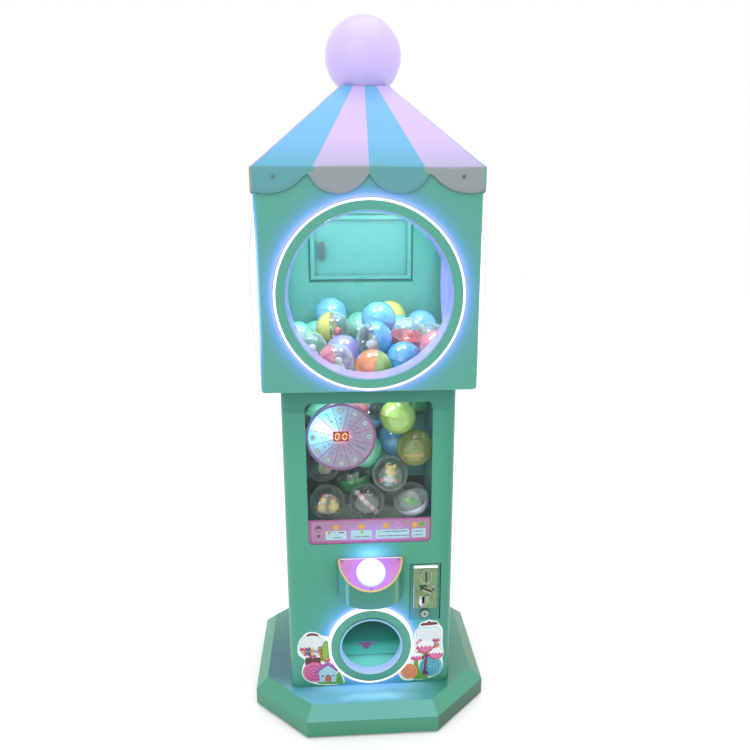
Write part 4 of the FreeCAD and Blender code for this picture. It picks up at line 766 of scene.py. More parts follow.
def roof_finish(name, bright, high, dull, valance, shine):
    """Printed translucent sheet with painted backlight: brightest half-way up, duller by the eave, unlit in
    the valance, whose colour is painted greyer and greener for its shade and the mint panel behind it.
    """
    sheet = Shading(name, Roughness=0.3, Coat_Weight=0.25, Coat_Roughness=0.15)
    height = sheet.remap(sheet.axis("Z"), ROOF_LOW.z, ROOF_HIGH.z)
    mottle = sheet.uneven(5.0, 3.0, -0.02, 0.02)
    where = sheet.plus(height, mottle)
    # Painted light and shade on the colour, by height.
    colour = sheet.ramp(where, [(0.0, valance), (0.22, valance), (0.235, dull), (0.48, bright),
                                (0.6, bright), (0.9, high)])
    sheet.set("Base Color", colour)
    sheet.set("Emission Color", colour)
    # Painted backlight: glow by height, none in the valance.
    light = sheet.ramp(where, [(0.0, grey(0.02)), (0.225, grey(0.04)), (0.24, grey(0.35)),
                               (0.5, grey(1.0)), (0.75, grey(1.0)), (1.0, grey(1.0))])
    sheet.set("Emission Strength", sheet.times(light, shine))
    sheet.bump(sheet.noise(300.0, 2.0), 0.03, 0.0003)
    return sheet.material


ROOF_BLUE = roof_finish("roof_blue", tint(80, 156, 210), tint(98, 162, 204), tint(62, 150, 178),
                        tint(78, 146, 150), 0.22)
ROOF_WHITE = roof_finish("roof_lilac", tint(180, 158, 212), tint(180, 162, 212), tint(160, 154, 188),
                         tint(132, 142, 142), 0.25)


# ---- globe --------------------------------------------------------------------------------------
def globe_finish():
    """Opal ball lit from below its middle, slightly violet low down."""
    ball = Shading("globe_opal", Roughness=0.3, Coat_Weight=0.3)
    height = ball.remap(ball.axis("Z"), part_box("globe")[0].z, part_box("globe")[1].z)
    hue = ball.ramp(height, [(0.0, tint(182, 172, 214)), (0.35, tint(190, 172, 232)),
                             (1.0, tint(190, 180, 205))])
    ball.set("Base Color", hue)
    ball.shine(ball.ramp(height, [(0.0, tint(170, 160, 210)), (0.4, tint(196, 172, 246)),
                                  (1.0, tint(200, 190, 222))]),
               ball.uneven(6.0, 2.0, 0.16, 0.19))
    return ball.material


use(globe_finish(), "globe")
roof()


# ---- capsules -----------------------------------------------------------------------------------
CAPSULE_R = 0.0475
CAPSULE_WALL = 0.0015
SAME_CAPSULE = 0.03       # a style belongs to a capsule this close to its place
COLOURS = {
    "pink": tint(226, 120, 140), "orange": tint(236, 132, 70), "lime": tint(150, 182, 84),
    "blue": tint(84, 160, 220), "sky": tint(110, 185, 235), "violet": tint(160, 145, 222),
    "yellow": tint(226, 214, 104), "mint": tint(112, 205, 172), "cyan": tint(112, 200, 214),
    "green": tint(50, 150, 84), "pine": tint(20, 104, 62), "white": tint(216, 214, 228),
    "red": tint(232, 62, 70), "gold": tint(255, 192, 24), "dark": tint(46, 44, 46),
    "brown": tint(120, 72, 40), "leaf": tint(74, 214, 48), "teal": tint(40, 120, 120),
}
CLEAR = {
    "clear": see_through("capsule_clear", (0.96, 0.99, 0.98, 1), tint(225, 240, 236), 0.03, 0.8, 3.2,
                         sparkle=0.06),
    "smoky": see_through("capsule_smoky", (0.92, 0.94, 0.92, 1), tint(216, 222, 216), 0.015, 0.8, 3.4,
                         sparkle=0.07),
    "straw": see_through("capsule_straw", (0.92, 0.93, 0.62, 1), tint(196, 202, 116), 0.12, 0.7, 2.2,
                         sparkle=0.045),
}
SOLID = {name: plastic("capsule_" + name, colour, 0.2, 1.0, 0.15, 0.0, 0.04)
         for name, colour in COLOURS.items()}
for finish in SOLID.values():
    finish.node_tree.nodes["Principled BSDF"].inputs["Coat IOR"].default_value = 1.8
SHELLS = {**SOLID, **CLEAR}


def half_shell(shape, centre, axis, paint):
    """Half a hollow ball with a stepped lip at the seam."""
    outer = [(CAPSULE_R * math.sin(a), CAPSULE_R * math.cos(a))
             for a in [math.radians(85.5) * i / 11 for i in range(12)]]
    lip = [(CAPSULE_R, 0.0028), (CAPSULE_R + 0.0002, 0.0022), (CAPSULE_R + 0.0002, 0.0004),
           (CAPSULE_R - 0.0004, 0.0001)]
    inside = CAPSULE_R - CAPSULE_WALL
    inner = [(inside * math.sin(a), max(0.0001, inside * math.cos(a)))
             for a in [math.radians(90) * i / 9 for i in range(9, -1, -1)]]
    lathe(shape, outer + lip + inner, centre, axis, 32, paint)


# The look of each capsule, from the one nearest to a place in mm: halves first, then what it holds.
STYLES = [
    ((8, -145, 971), "orange", "lime", (1, 0, -0.25), None),
    ((-80, -128, 985), "pink", "clear", (1, -0.1, 0.2), "pale"),
    ((95, -98, 982), "blue", "blue", (0.3, 0, 1), None),
    ((-160, -75, 1000), "clear", "clear", (0.3, -0.4, 1), "pale"),
    ((176, -122, 1012), "pink", "pink", (0.3, 0.2, 1), None),
    ((-62, -40, 987), "violet", "violet", (0.2, -0.3, 1), None),
    ((14, -60, 1024), "clear", "blue", (1, 0.1, 0.3), "pale"),
    ((114, -20, 1027), "pink", "clear", (0.1, -0.2, 1), "red"),
    ((-87, 36, 1040), "yellow", "clear", (1, -0.2, 0.1), "mixed"),
    ((185, 50, 1008), "clear", "clear", (0.2, -0.3, 1), "green"),
    ((-185, 25, 1016), "mint", "mint", (1, 0, 0.4), None),
    ((39, 22, 1064), "sky", "sky", (0.4, 0.1, 1), None),
    ((-20, 85, 1012), "clear", "clear", (0.6, -0.3, 1), "green"),
    ((-93, 176, 1060), "sky", "sky", (0.3, 0.3, 1), None),
    ((-8, 176, 1016), "mint", "mint", (0.2, 0.3, 1), None),
    ((99, 83, 1019), "cyan", "cyan", (0.2, 0.1, 1), None),
    ((171, 150, 1024), "sky", "sky", (0.1, 0.3, 1), None),
    ((80, 168, 1047), "yellow", "yellow", (0.5, 0.2, 1), None),
    ((-133, 111, 1003), "mint", "mint", (0.1, 0.3, 1), None),
    ((57, -146, 681), "smoky", "smoky", (0.4, -0.2, 1), "figure"),
    ((-110, -145, 604), "smoky", "smoky", (0.1, -0.3, 1), "pair"),
    ((-6, -146, 604), "smoky", "smoky", (1, 0.1, -0.5), "ribbon"),
    ((113, -145, 604), "white", "smoky", (-0.35, -0.2, 1), "leaf"),
    ((122, -143, 751), "straw", "straw", (0.2, -0.2, 1), "dark"),
    ((78, -134, 835), "lime", "lime", (0.2, 0.1, 1), None),
    ((122, -51, 852), "pine", "green", (0.2, -0.3, 1), None),
    ((-8, -95, 730), "mint", "mint", (0.3, 0.1, 1), None),
    ((78, -55, 746), "blue", "blue", (0.1, 0.3, 1), None),
    ((-122, -82, 687), "smoky", "smoky", (0.5, -0.1, 1), "mixed"),
    ((-38, -65, 643), "smoky", "green", (0.2, -0.2, -1), "green"),
]
SPARE = [("sky", "clear"), ("clear", "mint"), ("yellow", "yellow"), ("smoky", "pine"), ("pink", "clear")]


def capsule_centres():
    """Centre of each ball of the capsule node, from the pieces of its mesh that are a whole ball wide."""
    source = bmesh.new()
    source.from_mesh(NODES["capsules"].data)
    waiting = set(source.verts)
    centres = []
    while waiting:
        stack = [waiting.pop()]
        low = stack[0].co.copy()
        high = stack[0].co.copy()
        while stack:
            vert = stack.pop()
            for k in range(3):
                low[k] = min(low[k], vert.co[k])
                high[k] = max(high[k], vert.co[k])
            for edge in vert.link_edges:
                other = edge.other_vert(vert)
                if other in waiting:
                    waiting.remove(other)
                    stack.append(other)
        if min(high - low) > 1.985 * (CAPSULE_R - 0.0002):
            centres.append((low + high) / 2)
    source.free()
    centres.sort(key=lambda point: (round(point.z, 4), round(point.x, 4), round(point.y, 4)))
    return centres


def ellipsoid(shape, centre, radii, paint, turn):
    """Smooth blob, turned by a rotation matrix."""
    made = bmesh.ops.create_uvsphere(shape, u_segments=16, v_segments=10, radius=1.0)
    for vert in made["verts"]:
        vert.co = centre + turn @ Vector([co * radius for co, radius in zip(vert.co, radii)])
    for face in {face for vert in made["verts"] for face in vert.link_faces}:
        face.material_index = paint


# Parts of each small prize in mm from the capsule's middle: place, radii, colour and tilt.
TOYS = {
    "figure": [((2, -2, 6), (15, 12, 17), "gold", -0.1), ((-3, 0, -14), (18, 13, 12), "white", 0.1),
               ((11, -2, 21), (5, 4, 7), "gold", 0.5), ((-7, -2, 21), (5, 4, 7), "gold", -0.5),
               ((-2, -10, -2), (8, 4, 7), "white", 0), ((-19, -3, -16), (7, 6, 8), "red", 0.4),
               ((-4, -4, -28), (12, 9, 5), "blue", 0), ((12, -4, -20), (7, 6, 7), "orange", 0)],
    "pair": [((-17, -4, -14), (16, 14, 17), "gold", 0.2), ((17, -4, -14), (16, 14, 17), "gold", -0.2),
             ((-12, -4, 7), (10, 9, 10), "gold", 0), ((14, -3, 4), (9, 8, 9), "yellow", 0),
             ((-8, -4, 20), (9, 6, 6), "red", 0.3), ((14, -5, 12), (9, 6, 6), "red", 0),
             ((-20, -14, 2), (6, 4, 7), "white", 0)],
    "dark": [((-4, -4, -4), (27, 16, 10), "teal", 0), ((0, -4, -18), (28, 18, 8), "orange", 0),
             ((4, -8, -26), (20, 12, 5), "brown", 0)],
    "leaf": [((-2, -6, -2), (26, 18, 8), "leaf", 0.45), ((8, -8, -4), (14, 12, 9), "leaf", 0.3)],
    "ribbon": [((6.2 * step, -12 + 1.5 * abs(step), -7.0 * step), (7.5, 3.5, 8),
                "pink" if step % 2 else "white", 0.5) for step in range(-4, 5)],
    "mixed": [((-10, -2, -6), (12, 10, 14), "green", 0.3), ((12, -2, -8), (12, 10, 12), "red", 0),
              ((0, -4, -24), (18, 12, 8), "brown", 0)],
}
for held, colour in (("green", "green"), ("red", "red"), ("pale", "white")):
    TOYS[held] = [((0, 0, -16), (24, 20, 16), colour, 0), ((6, -4, 2), (12, 10, 12), colour, 0.3)]
TOY_COLOURS = ["gold", "white", "red", "blue", "orange", "yellow", "teal", "brown", "leaf", "pink", "green"]


def toy(shape, kind, centre, first_paint):
    """Small generic prize inside a capsule: rounded blocks without faces or marks."""
    for offset, radii, colour, tilt in TOYS[kind]:
        ellipsoid(shape, centre + Vector(offset) * MM, [r * MM for r in radii],
                  first_paint + TOY_COLOURS.index(colour), Matrix.Rotation(tilt, 3, "Y"))


def capsules():
    for index, centre in enumerate(capsule_centres()):
        place, *style = min(STYLES, key=lambda row: (Vector(row[0]) * MM - centre).length)
        if (Vector(place) * MM - centre).length >= SAME_CAPSULE:
            style = [*SPARE[index % len(SPARE)], (0.4, 0.2, 1), None]
        lower, upper, axis, held = style
        names = [lower, upper]
        shape = bmesh.new()
        half_shell(shape, centre, -Vector(axis), 0)
        half_shell(shape, centre, Vector(axis), 1)
        if held:
            toy(shape, held, centre, len(names))
            names += TOY_COLOURS
        made = piece("capsule_%02d" % (index + 1), shape, [SHELLS[name] for name in names],
                     smooth=35)
        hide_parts("capsules")


capsules()


# ---- printed artwork ----------------------------------------------------------------------------
def printed(name, red, green, blue, glow=0.0):
    """Ink on glossy vinyl: slight mottling, and a share of light from the lamps close by."""
    base = tint(red, green, blue)
    paler = tint(min(255, red + 14), min(255, green + 14), min(255, blue + 14))
    vinyl = Shading("print_" + name, Roughness=0.3, Coat_Weight=0.3, Coat_Roughness=0.1)
    colour = vinyl.mix(vinyl.uneven(160.0, 3.0, spread=0.15), base, paler)
    vinyl.set("Base Color", colour)
    if glow:
        vinyl.set("Emission Color", colour)
        vinyl.set("Emission Strength", glow)
    return vinyl.material


INK = {name: printed(name, *shade) for name, shade in {
    "white": (205, 212, 214, 0.1), "pale": (192, 204, 206, 0.06), "maroon": (92, 26, 34),
    "brown": (74, 28, 26), "crimson": (168, 34, 62), "rose": (190, 92, 140), "pink": (214, 150, 190),
    "magenta": (160, 48, 120), "purple": (150, 78, 168), "plum": (90, 36, 70), "lilac": (188, 150, 214),
    "orange": (196, 92, 48), "peach": (204, 138, 96), "gold": (190, 132, 24), "yellow": (206, 184, 84),
    "green": (82, 142, 46), "leaf": (118, 166, 60), "teal": (30, 116, 134), "sky": (74, 160, 186),
    "ice": (150, 190, 202), "navy": (40, 42, 92), "ink": (44, 46, 52), "cherry": (206, 52, 52),
    "label_and_slot_shade": (14, 16, 16)}.items()}


def circle(x, z, wide, high=None, start=0.0, sweep=360.0, count=36):
    """Points on a circle or ellipse, as an arc from start through sweep degrees."""
    high = wide if high is None else high
    whole = abs(sweep) >= 360.0
    steps = count if whole else count - 1
    angles = [math.radians(start + sweep * i / steps) for i in range(count)]
    return [(x + wide * math.cos(a), z + high * math.sin(a)) for a in angles]


def rounded(x0, x1, z0, z1, radius, count=5):
    """Corner points of a box with round corners."""
    points = []
    for x, z, start in ((x1 - radius, z1 - radius, 0), (x0 + radius, z1 - radius, 90),
                        (x0 + radius, z0 + radius, 180), (x1 - radius, z0 + radius, 270)):
        points += circle(x, z, radius, start=start, sweep=90.0, count=count)
    return points


def flowing(points, steps=5):
    """Closed smooth outline through a few points."""
    made = []
    count = len(points)
    for i in range(count):
        a, b, c, d = (Vector(points[(i + k) % count]) for k in (-1, 0, 1, 2))
        for step in range(steps):
            t = step / steps
            spot = 0.5 * (2 * b + (c - a) * t + (2 * a - 5 * b + 4 * c - d) * t * t
                          + (3 * b - a - 3 * c + d) * t ** 3)
            made.append((spot.x, spot.y))
    return made


def spiral(x, z, inner, outer, turns, start=0.0, count=60):
    points = []
    for i in range(count + 1):
        share = i / count
        angle = math.radians(start) + 2 * math.pi * turns * share
        reach = inner + (outer - inner) * share
        points.append((x + reach * math.cos(angle), z + reach * math.sin(angle)))
    return points


class Print:
    """Thin closed slabs on a flat face; places are mm to the right and up from an origin on it."""

    ply = 0.00012

    def __init__(self, origin, right=RIGHT, up=UP):
        self.shape = bmesh.new()
        self.origin = Vector(origin)
        self.right = Vector(right)
        self.up = Vector(up)
        self.out = self.right.cross(self.up)
        self.inks = []

    def paint(self, finish):
        """Slot of a finish, given as a material or as the name of an ink."""
        if isinstance(finish, str):
            finish = INK[finish]
        if finish not in self.inks:
            self.inks.append(finish)
        return self.inks.index(finish)

    def vert(self, x, z, height):
        return self.shape.verts.new(self.origin + (self.right * x + self.up * z) * MM + self.out * height)

    def slab(self, points, layer, finish, thick=None):
        """Fill an outline, one layer proud of those below it."""
        height = self.ply * (layer + 1) if thick is None else thick
        paint = self.paint(finish)
        low = [self.vert(x, z, 0.0) for x, z in points]
        high = [self.vert(x, z, height) for x, z in points]
        bridge(self.shape, low, high, paint)
        for loop in (low, high):
            self.shape.faces.new(loop).material_index = paint

    def blob(self, points, layer, finish):
        """Slab with a smooth outline through a few points."""
        self.slab(flowing(points), layer, finish)

    def disc(self, x, z, radius, layer, finish, count=28):
        self.slab(circle(x, z, radius, count=count), layer, finish)

    def ring(self, x, z, outer, inner, layer, finish, count=36, thick=None):
        height = self.ply * (layer + 1) if thick is None else thick
        centre = self.origin + (self.right * x + self.up * z) * MM
        profile = [(outer * MM, 0.0), (outer * MM, height), (inner * MM, height), (inner * MM, 0.0)]
        lathe(self.shape, profile, centre, self.out, count, self.paint(finish), closed=True)

    def stroke(self, points, width, layer, finish, end_width=None, closed=False, thick=None):
        """Line of a given width along points, as one ribbon of box section."""
        height = self.ply * (layer + 1) if thick is None else thick
        paint = self.paint(finish)
        spots = [Vector(point) for point in points]
        count = len(spots)
        sections = []
        for i, spot in enumerate(spots):
            before = spots[i - 1] if i or closed else spot
            after = spots[(i + 1) % count] if closed or i + 1 < count else spot
            along = (after - before).normalized()
            half = width / 2
            if end_width is not None:
                half += (end_width - width) / 2 * i / (count - 1)
            side = Vector((-along.y, along.x)) * half
            left, right = spot + side, spot - side
            sections.append([self.vert(left.x, left.y, 0.0), self.vert(left.x, left.y, height),
                             self.vert(right.x, right.y, height), self.vert(right.x, right.y, 0.0)])
        for first, second in zip(sections, sections[1:] + sections[:1] if closed else sections[1:]):
            bridge(self.shape, first, second, paint)
        if not closed:
            for cap in (sections[0], sections[-1]):
                self.shape.faces.new(cap).material_index = paint

    def numeral(self, text, x, z, size, layer, finish, turn=0.0):
        """Plain number from the built-in font."""
        curve = bpy.data.curves.new("numeral", "FONT")
        curve.body = text
        curve.size = size * MM
        curve.align_x = "CENTER"
        curve.align_y = "CENTER"
        curve.resolution_u = 2
        height = self.ply * (layer + 1)
        curve.extrude = height / 2
        holder = bpy.data.objects.new("numeral", curve)
        data = bpy.data.meshes.new_from_object(holder)
        start = len(self.shape.verts)
        first_face = len(self.shape.faces)
        self.shape.from_mesh(data)
        self.shape.verts.ensure_lookup_table()
        self.shape.faces.ensure_lookup_table()
        fresh = self.shape.verts[start:]
        spin = Matrix.Rotation(turn, 3, "Z")
        for vert in fresh:
            local = spin @ vert.co
            vert.co = (self.origin + (self.right * x + self.up * z) * MM + self.right * local.x
                       + self.up * local.y + self.out * (local.z + height / 2))
        paint = self.paint(finish)
        for face in self.shape.faces[first_face:]:
            face.material_index = paint
        bmesh.ops.remove_doubles(self.shape, verts=fresh, dist=1e-6)
        bpy.data.objects.remove(holder)
        bpy.data.curves.remove(curve)
        bpy.data.meshes.remove(data)

    def finish(self, name, slot, body="cabinet"):
        return piece(name, self.shape, self.inks, body)


# ---- prize wheel --------------------------------------------------------------------------------
WHEEL = middle("wheel_face")
WHEEL.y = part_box("wheel_face")[0].y
FACE_R = size_of("wheel_face").x / 2
DISPLAY = middle("digit_display")
DISPLAY.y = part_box("digit_display")[0].y


def wheel_sectors(shading):
    """Lamp light on the wheel by direction: strongest in one sector, less in those beside it."""
    gap = shading.vector("SUBTRACT", shading.place(), tuple(WHEEL))
    parts = shading.node("SeparateXYZ", {0: gap}).outputs
    turned = shading.math("ARCTAN2", parts["Z"], parts["X"])
    degrees = shading.times(turned, 180 / math.pi)
    away = shading.size(shading.minus(degrees, 150.0))
    away = shading.math("MINIMUM", away, shading.minus(360.0, away))
    stepped = shading.ramp(shading.math("DIVIDE", away, 180.0),
                           [(0.0, grey(1.0)), (0.08, grey(1.0)), (0.088, grey(0.8)), (0.24, grey(0.66)),
                            (0.27, grey(0.42)), (0.4, grey(0.26)), (0.5, grey(0.08)), (0.62, grey(0.0))])
    reach = shading.distance(WHEEL)
    body = shading.ease(reach, 0.055, 0.086, 1.0, 0.72)
    return shading.times(stepped, body)


def wheel_finish():
    """Lilac-grey printed disc, lit from behind at the upper left, with the display's red glow."""
    disc = Shading("wheel_print", Roughness=0.35, Coat_Weight=0.25)
    fine = disc.uneven(70.0, 4.0, spread=0.15)
    base = disc.mix(fine, tint(144, 126, 156), tint(156, 138, 166))
    disc.set("Base Color", base)
    light = wheel_sectors(disc)
    blue = disc.ramp(light, [(0.0, tint(0, 0, 0)), (0.2, tint(20, 120, 150)), (0.45, tint(30, 205, 230)),
                             (0.66, tint(70, 235, 250)), (0.95, tint(225, 250, 255))])
    red = disc.ease(disc.distance(DISPLAY, (0.72, 0, 1.05)), 0.012, 0.026, 1.0, 0.0)
    disc.shine(disc.mix(disc.times(red, 0.75), blue, tint(235, 60, 110)),
               disc.remap(disc.most(light, red), 0.0, 0.7, 0.4, 1.25))
    disc.bump(disc.noise(500.0, 2.0), 0.04, 0.0002)
    return disc.material


def rim_finish():
    """Purple-pink ring, with the lit sectors' blue light painted on beside them."""
    ring = Shading("wheel_trim", Roughness=0.3, Coat_Weight=0.4)
    light = wheel_sectors(ring)
    base = ring.mix(ring.uneven(40.0, 3.0, spread=0.15), tint(118, 64, 106), tint(132, 76, 120))
    # Painted blue light from the lit sectors.
    ring.set("Base Color", ring.mix(light, base, tint(50, 80, 150)))
    ring.shine(ring.mix(light, tint(90, 50, 80), tint(60, 110, 200)),
               ring.remap(light, 0.0, 1.0, 0.08, 0.4))
    return ring.material


def star(x, z, size, points=5, turn=90.0):
    made = []
    for i in range(2 * points):
        reach = size if i % 2 == 0 else 0.45 * size
        angle = math.radians(turn + 180.0 / points * i)
        made.append((x + reach * math.cos(angle), z + reach * math.sin(angle)))
    return made


def wheel_print():
    """Sector lines, numbered discs and small plain marks on the wheel."""
    art = Print(WHEEL)
    radius = FACE_R / MM
    line = printed("wheel_line", 134, 52, 126, 0.16)
    mark = printed("wheel_mark", 44, 62, 66)
    plate = printed("wheel_disc", 158, 170, 172, 0.12)
    digit_gap = 24.0
    for i in range(12):
        angle = math.radians(15 + 30 * i)
        way = Vector((math.cos(angle), math.sin(angle)))
        inner = way * (digit_gap if abs(way.x) > 0.5 else 17.0)
        art.stroke([inner, way * (radius - 0.3)], 1.8, 1, line)
    for i in range(12):
        angle = math.radians(90 - 30 * i)
        way = Vector((math.cos(angle), math.sin(angle)))
        turn = angle - math.pi / 2
        spot = way * (radius - 13.0)
        if i not in (4, 10, 11):
            art.ring(spot.x, spot.y, 7.4, 6.5, 1, mark)
            art.disc(spot.x, spot.y, 6.4, 0, plate)
            art.numeral(str(i + 1), spot.x, spot.y, 9.5, 2, mark, turn)
        for reach, size in ((48.0, 2.6), (36.0, 1.9)):
            point = way * reach
            if i % 3 == 0:
                art.disc(point.x, point.y, 0.8 * size, 1, mark, 12)
            elif i % 3 == 1:
                art.slab(star(point.x, point.y, size, 5, math.degrees(angle)), 1, mark)
            else:
                art.ring(point.x, point.y, size, 0.55 * size, 1, mark, 16)
        if i in (4, 11):
            for reach in (48.0, 55.0, 62.0, 69.0):
                point = way * reach
                art.slab(star(point.x, point.y, 3.4, 4, math.degrees(angle)), 2, "ink")
    rim = radius - 1.1
    art.ring(0, 0, radius - 0.2, rim - 0.4, 0, line, 72)
    art.finish("wheel_markings", "wheel_print")


def segment_digit(art, x, z, wide, high, finish, slant=0.06):
    """Seven-segment nought: the six outer bars, each pointed at its ends."""
    bar = 2.5
    corners = [(-1, 1), (1, 1), (1, 0), (1, -1), (-1, -1), (-1, 0)]
    spots = [Vector((x + a * wide / 2 + b * slant * high, z + b * high / 2)) for a, b in corners]
    for first, second in zip(spots, spots[1:] + spots[:1]):
        along = (second - first).normalized()
        side = Vector((-along.y, along.x)) * bar / 2
        start = first + along * 0.9
        end = second - along * 0.9
        art.slab([start, start + along * bar / 2 + side, end - along * bar / 2 + side, end,
                  end - along * bar / 2 - side, start + along * bar / 2 - side], 3, finish)


def display():
    """Two lit digits on the dark display."""
    window = Shading("display_red", Roughness=0.15, Coat_Weight=0.5)
    window.set("Base Color", window.mix(window.uneven(90.0, 2.0), tint(34, 8, 10),
                                        tint(48, 12, 12)))
    near = window.ease(window.distance(DISPLAY, (0.6, 0, 1)), 0.0, 0.016, 1.0, 0.35)
    window.shine(window.ramp(near, [(0.0, tint(150, 36, 50)), (1.0, tint(196, 76, 62))]),
                 window.times(near, 0.9))
    use(window.material, "digit_display")
    lit_bar = lit("display_amber", tint(255, 160, 90), tint(255, 172, 96), 1.3).material
    art = Print(DISPLAY)
    for x in (-9.6, 9.6):
        segment_digit(art, x, 0.0, 8.6, 16.0, lit_bar)
    art.finish("display_digits", "display_red")


use(wheel_finish(), "wheel_face")
use(rim_finish(), "wheel_rim")
wheel_print()
display()


# ---- instruction strip --------------------------------------------------------------------------
def strip_edge_finish():
    edge = Shading("strip_magenta", Roughness=0.3, Coat_Weight=0.3)
    edge.set("Base Color", edge.mix(edge.uneven(50.0, 3.0, spread=0.15), tint(136, 66, 118),
                                    tint(150, 80, 134)))
    # Painted light from the push button on the magenta edging: strongest near it, faint elsewhere.
    edge.shine(tint(150, 80, 150),
               edge.remap(edge.distance((0.01, 0, 0.50), (1, 0, 1)), 0.02, 0.15, 0.3, 0.08))
    return edge.material


def strip_field_finish():
    """Pink card, more violet towards the middle of its lower edge where the button's light falls."""
    card = Shading("strip_pink", Roughness=0.3, Coat_Weight=0.3)
    near = card.ease(card.distance((0.012, 0, 0.500), (0.8, 0, 1.3)), 0.02, 0.12, 1.0, 0.0)
    pink = card.mix(card.uneven(30.0, 3.0, spread=0.15), tint(150, 112, 144), tint(158, 120, 150))
    card.set("Base Color", card.mix(near, pink, tint(150, 122, 190)))
    card.shine(tint(170, 130, 255), card.times(near, 0.32))
    return card.material


def instruction_art():
    """Four numbered steps as plain pictures: badge above, white box with small marks below."""
    low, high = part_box("instruction_strip")
    art = Print((0, low.y, 0))
    field = strip_field_finish()
    line = "magenta"
    art.slab(rounded(-153.2, 158.2, 516.0, 575.5, 7.5), 0, line)
    art.slab(rounded(-151.7, 156.7, 517.5, 574.0, 6.5), 1, field)
    boxes = [(-115.9, -60.5), (-50.2, 5.0), (14.4, 103.1), (109.5, 146.4)]
    for left, right in boxes:
        art.slab(rounded(left - 0.8, right + 0.8, 520.8, 547.7, 3.0), 2, line)
        art.slab(rounded(left, right, 521.6, 546.9, 2.4), 3, "ice")
    for number, x in enumerate((-87.9, -22.8, 41.5, 117.7), 1):
        art.disc(x, 557.0, 8.0, 2, "gold")
        art.ring(x, 557.0, 6.7, 5.9, 3, "yellow")
        art.numeral(str(number), x, 557.0, 10.0, 3, "yellow")
    art.ring(74.2, 558.0, 7.6, 6.8, 2, "pink")
    art.disc(136.5, 558.5, 7.4, 2, "green")
    art.ring(136.5, 558.5, 7.6, 6.6, 3, "leaf")
    art.disc(-105.5, 541.5, 4.6, 4, "gold")
    art.slab([(-97, 540.6), (-91, 540.6), (-91, 538.6), (-86.5, 541.6), (-91, 544.6), (-91, 542.6),
              (-97, 542.6)], 4, "sky")
    art.slab(rounded(-81, -68, 539.6, 543.6, 1.0), 4, "crimson")
    art.disc(-21.0, 541.0, 4.2, 4, "leaf")
    art.ring(25.5, 541.0, 3.6, 2.4, 4, "leaf")
    rows = [(-98, 4, 527.5), (-44, 7, 528.0), (20, 13, 528.5), (35, 10, 540.8), (114.5, 4, 528.5),
            (114.5, 4, 539.0)]
    for x, count, z in rows:
        for i in range(count):
            high_mark = 3.4 if i % 3 else 2.2
            left = x + i * 6.6
            art.slab(rounded(left, left + 4.2, z - high_mark / 2, z + high_mark / 2, 0.8, 3), 4,
                     "navy" if i % 4 else "ink")
    art.ring(-134.0, 554.0, 9.0, 7.6, 2, "plum")
    art.slab(circle(-134.0, 554.0, 7.0, start=0.0, sweep=180.0, count=16), 2, "plum")
    art.slab([(-138.5, 536.5), (-129.5, 536.5), (-129.5, 533.5), (-134, 527.5), (-138.5, 533.5)], 2,
             "plum")
    art.finish("instruction_print", "strip_print")


use(strip_edge_finish(), "instruction_strip")
instruction_art()


# ---- push button --------------------------------------------------------------------------------
HOOD_LOW, HOOD_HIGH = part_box("button_hood")
PLATE_LOW, PLATE_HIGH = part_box("button_plate")
SLOPE = math.radians(39.66)
SLOPE_UP = Vector((0, math.cos(SLOPE), math.sin(SLOPE)))
SLOPE_OUT = RIGHT.cross(SLOPE_UP)
PLATE_EDGE = Vector((0, -0.200, 0.4675))
PLATE_THICK = 0.0015
DOME_DOWN = 41.5
DOME = PLATE_EDGE - SLOPE_UP * DOME_DOWN * MM


def plate_finish():
    """Pink and violet brushed print, with the lit dome's violet light painted on round it."""
    card = Shading("plate_pink", Roughness=0.3, Coat_Weight=0.4)
    streaks = card.noise(9.0, 4.0, 0.6, card.stretched((1.0, 6.0, 6.0)))
    base = card.ramp(streaks, [(0.3, tint(150, 86, 190)), (0.45, tint(176, 100, 178)),
                               (0.56, tint(186, 116, 176)), (0.7, tint(160, 96, 200))])
    # Painted violet light from the lit dome.
    near = card.ease(card.distance(DOME), 0.036, 0.066, 1.0, 0.0)
    card.set("Base Color", card.mix(card.times(near, 0.7), base, tint(150, 84, 220)))
    card.shine(card.mix(near, tint(190, 110, 190), tint(170, 110, 255)),
               card.remap(near, 0.0, 1.0, 0.16, 0.45))
    return card.material


def dome_finish():
    """Lit white cap, cyan at its lower edge."""
    cap = lit("button_white", tint(245, 248, 255), tint(250, 252, 255), 1.25)
    down = cap.along(DOME, SLOPE_UP)
    low_edge = cap.ease(down, -0.036, -0.018, 1.0, 0.0)
    cap.set("Emission Color", cap.mix(low_edge, tint(252, 252, 255), tint(150, 225, 250)))
    return cap.material


def collar_finish():
    """White collar, tinted by the dome's light."""
    ring = Shading("collar_white", Roughness=0.25, Coat_Weight=0.3)
    ring.set("Base Color", ring.mix(ring.uneven(60.0, 2.0), tint(170, 175, 225),
                                    tint(186, 190, 232)))
    down = ring.along(DOME, SLOPE_UP)
    upper = ring.ease(down, -0.03, 0.03, 0.0, 1.0)
    ring.shine(ring.mix(upper, tint(110, 150, 255), tint(245, 245, 255)),
               ring.remap(upper, 0.0, 1.0, 0.35, 0.9))
    return ring.material


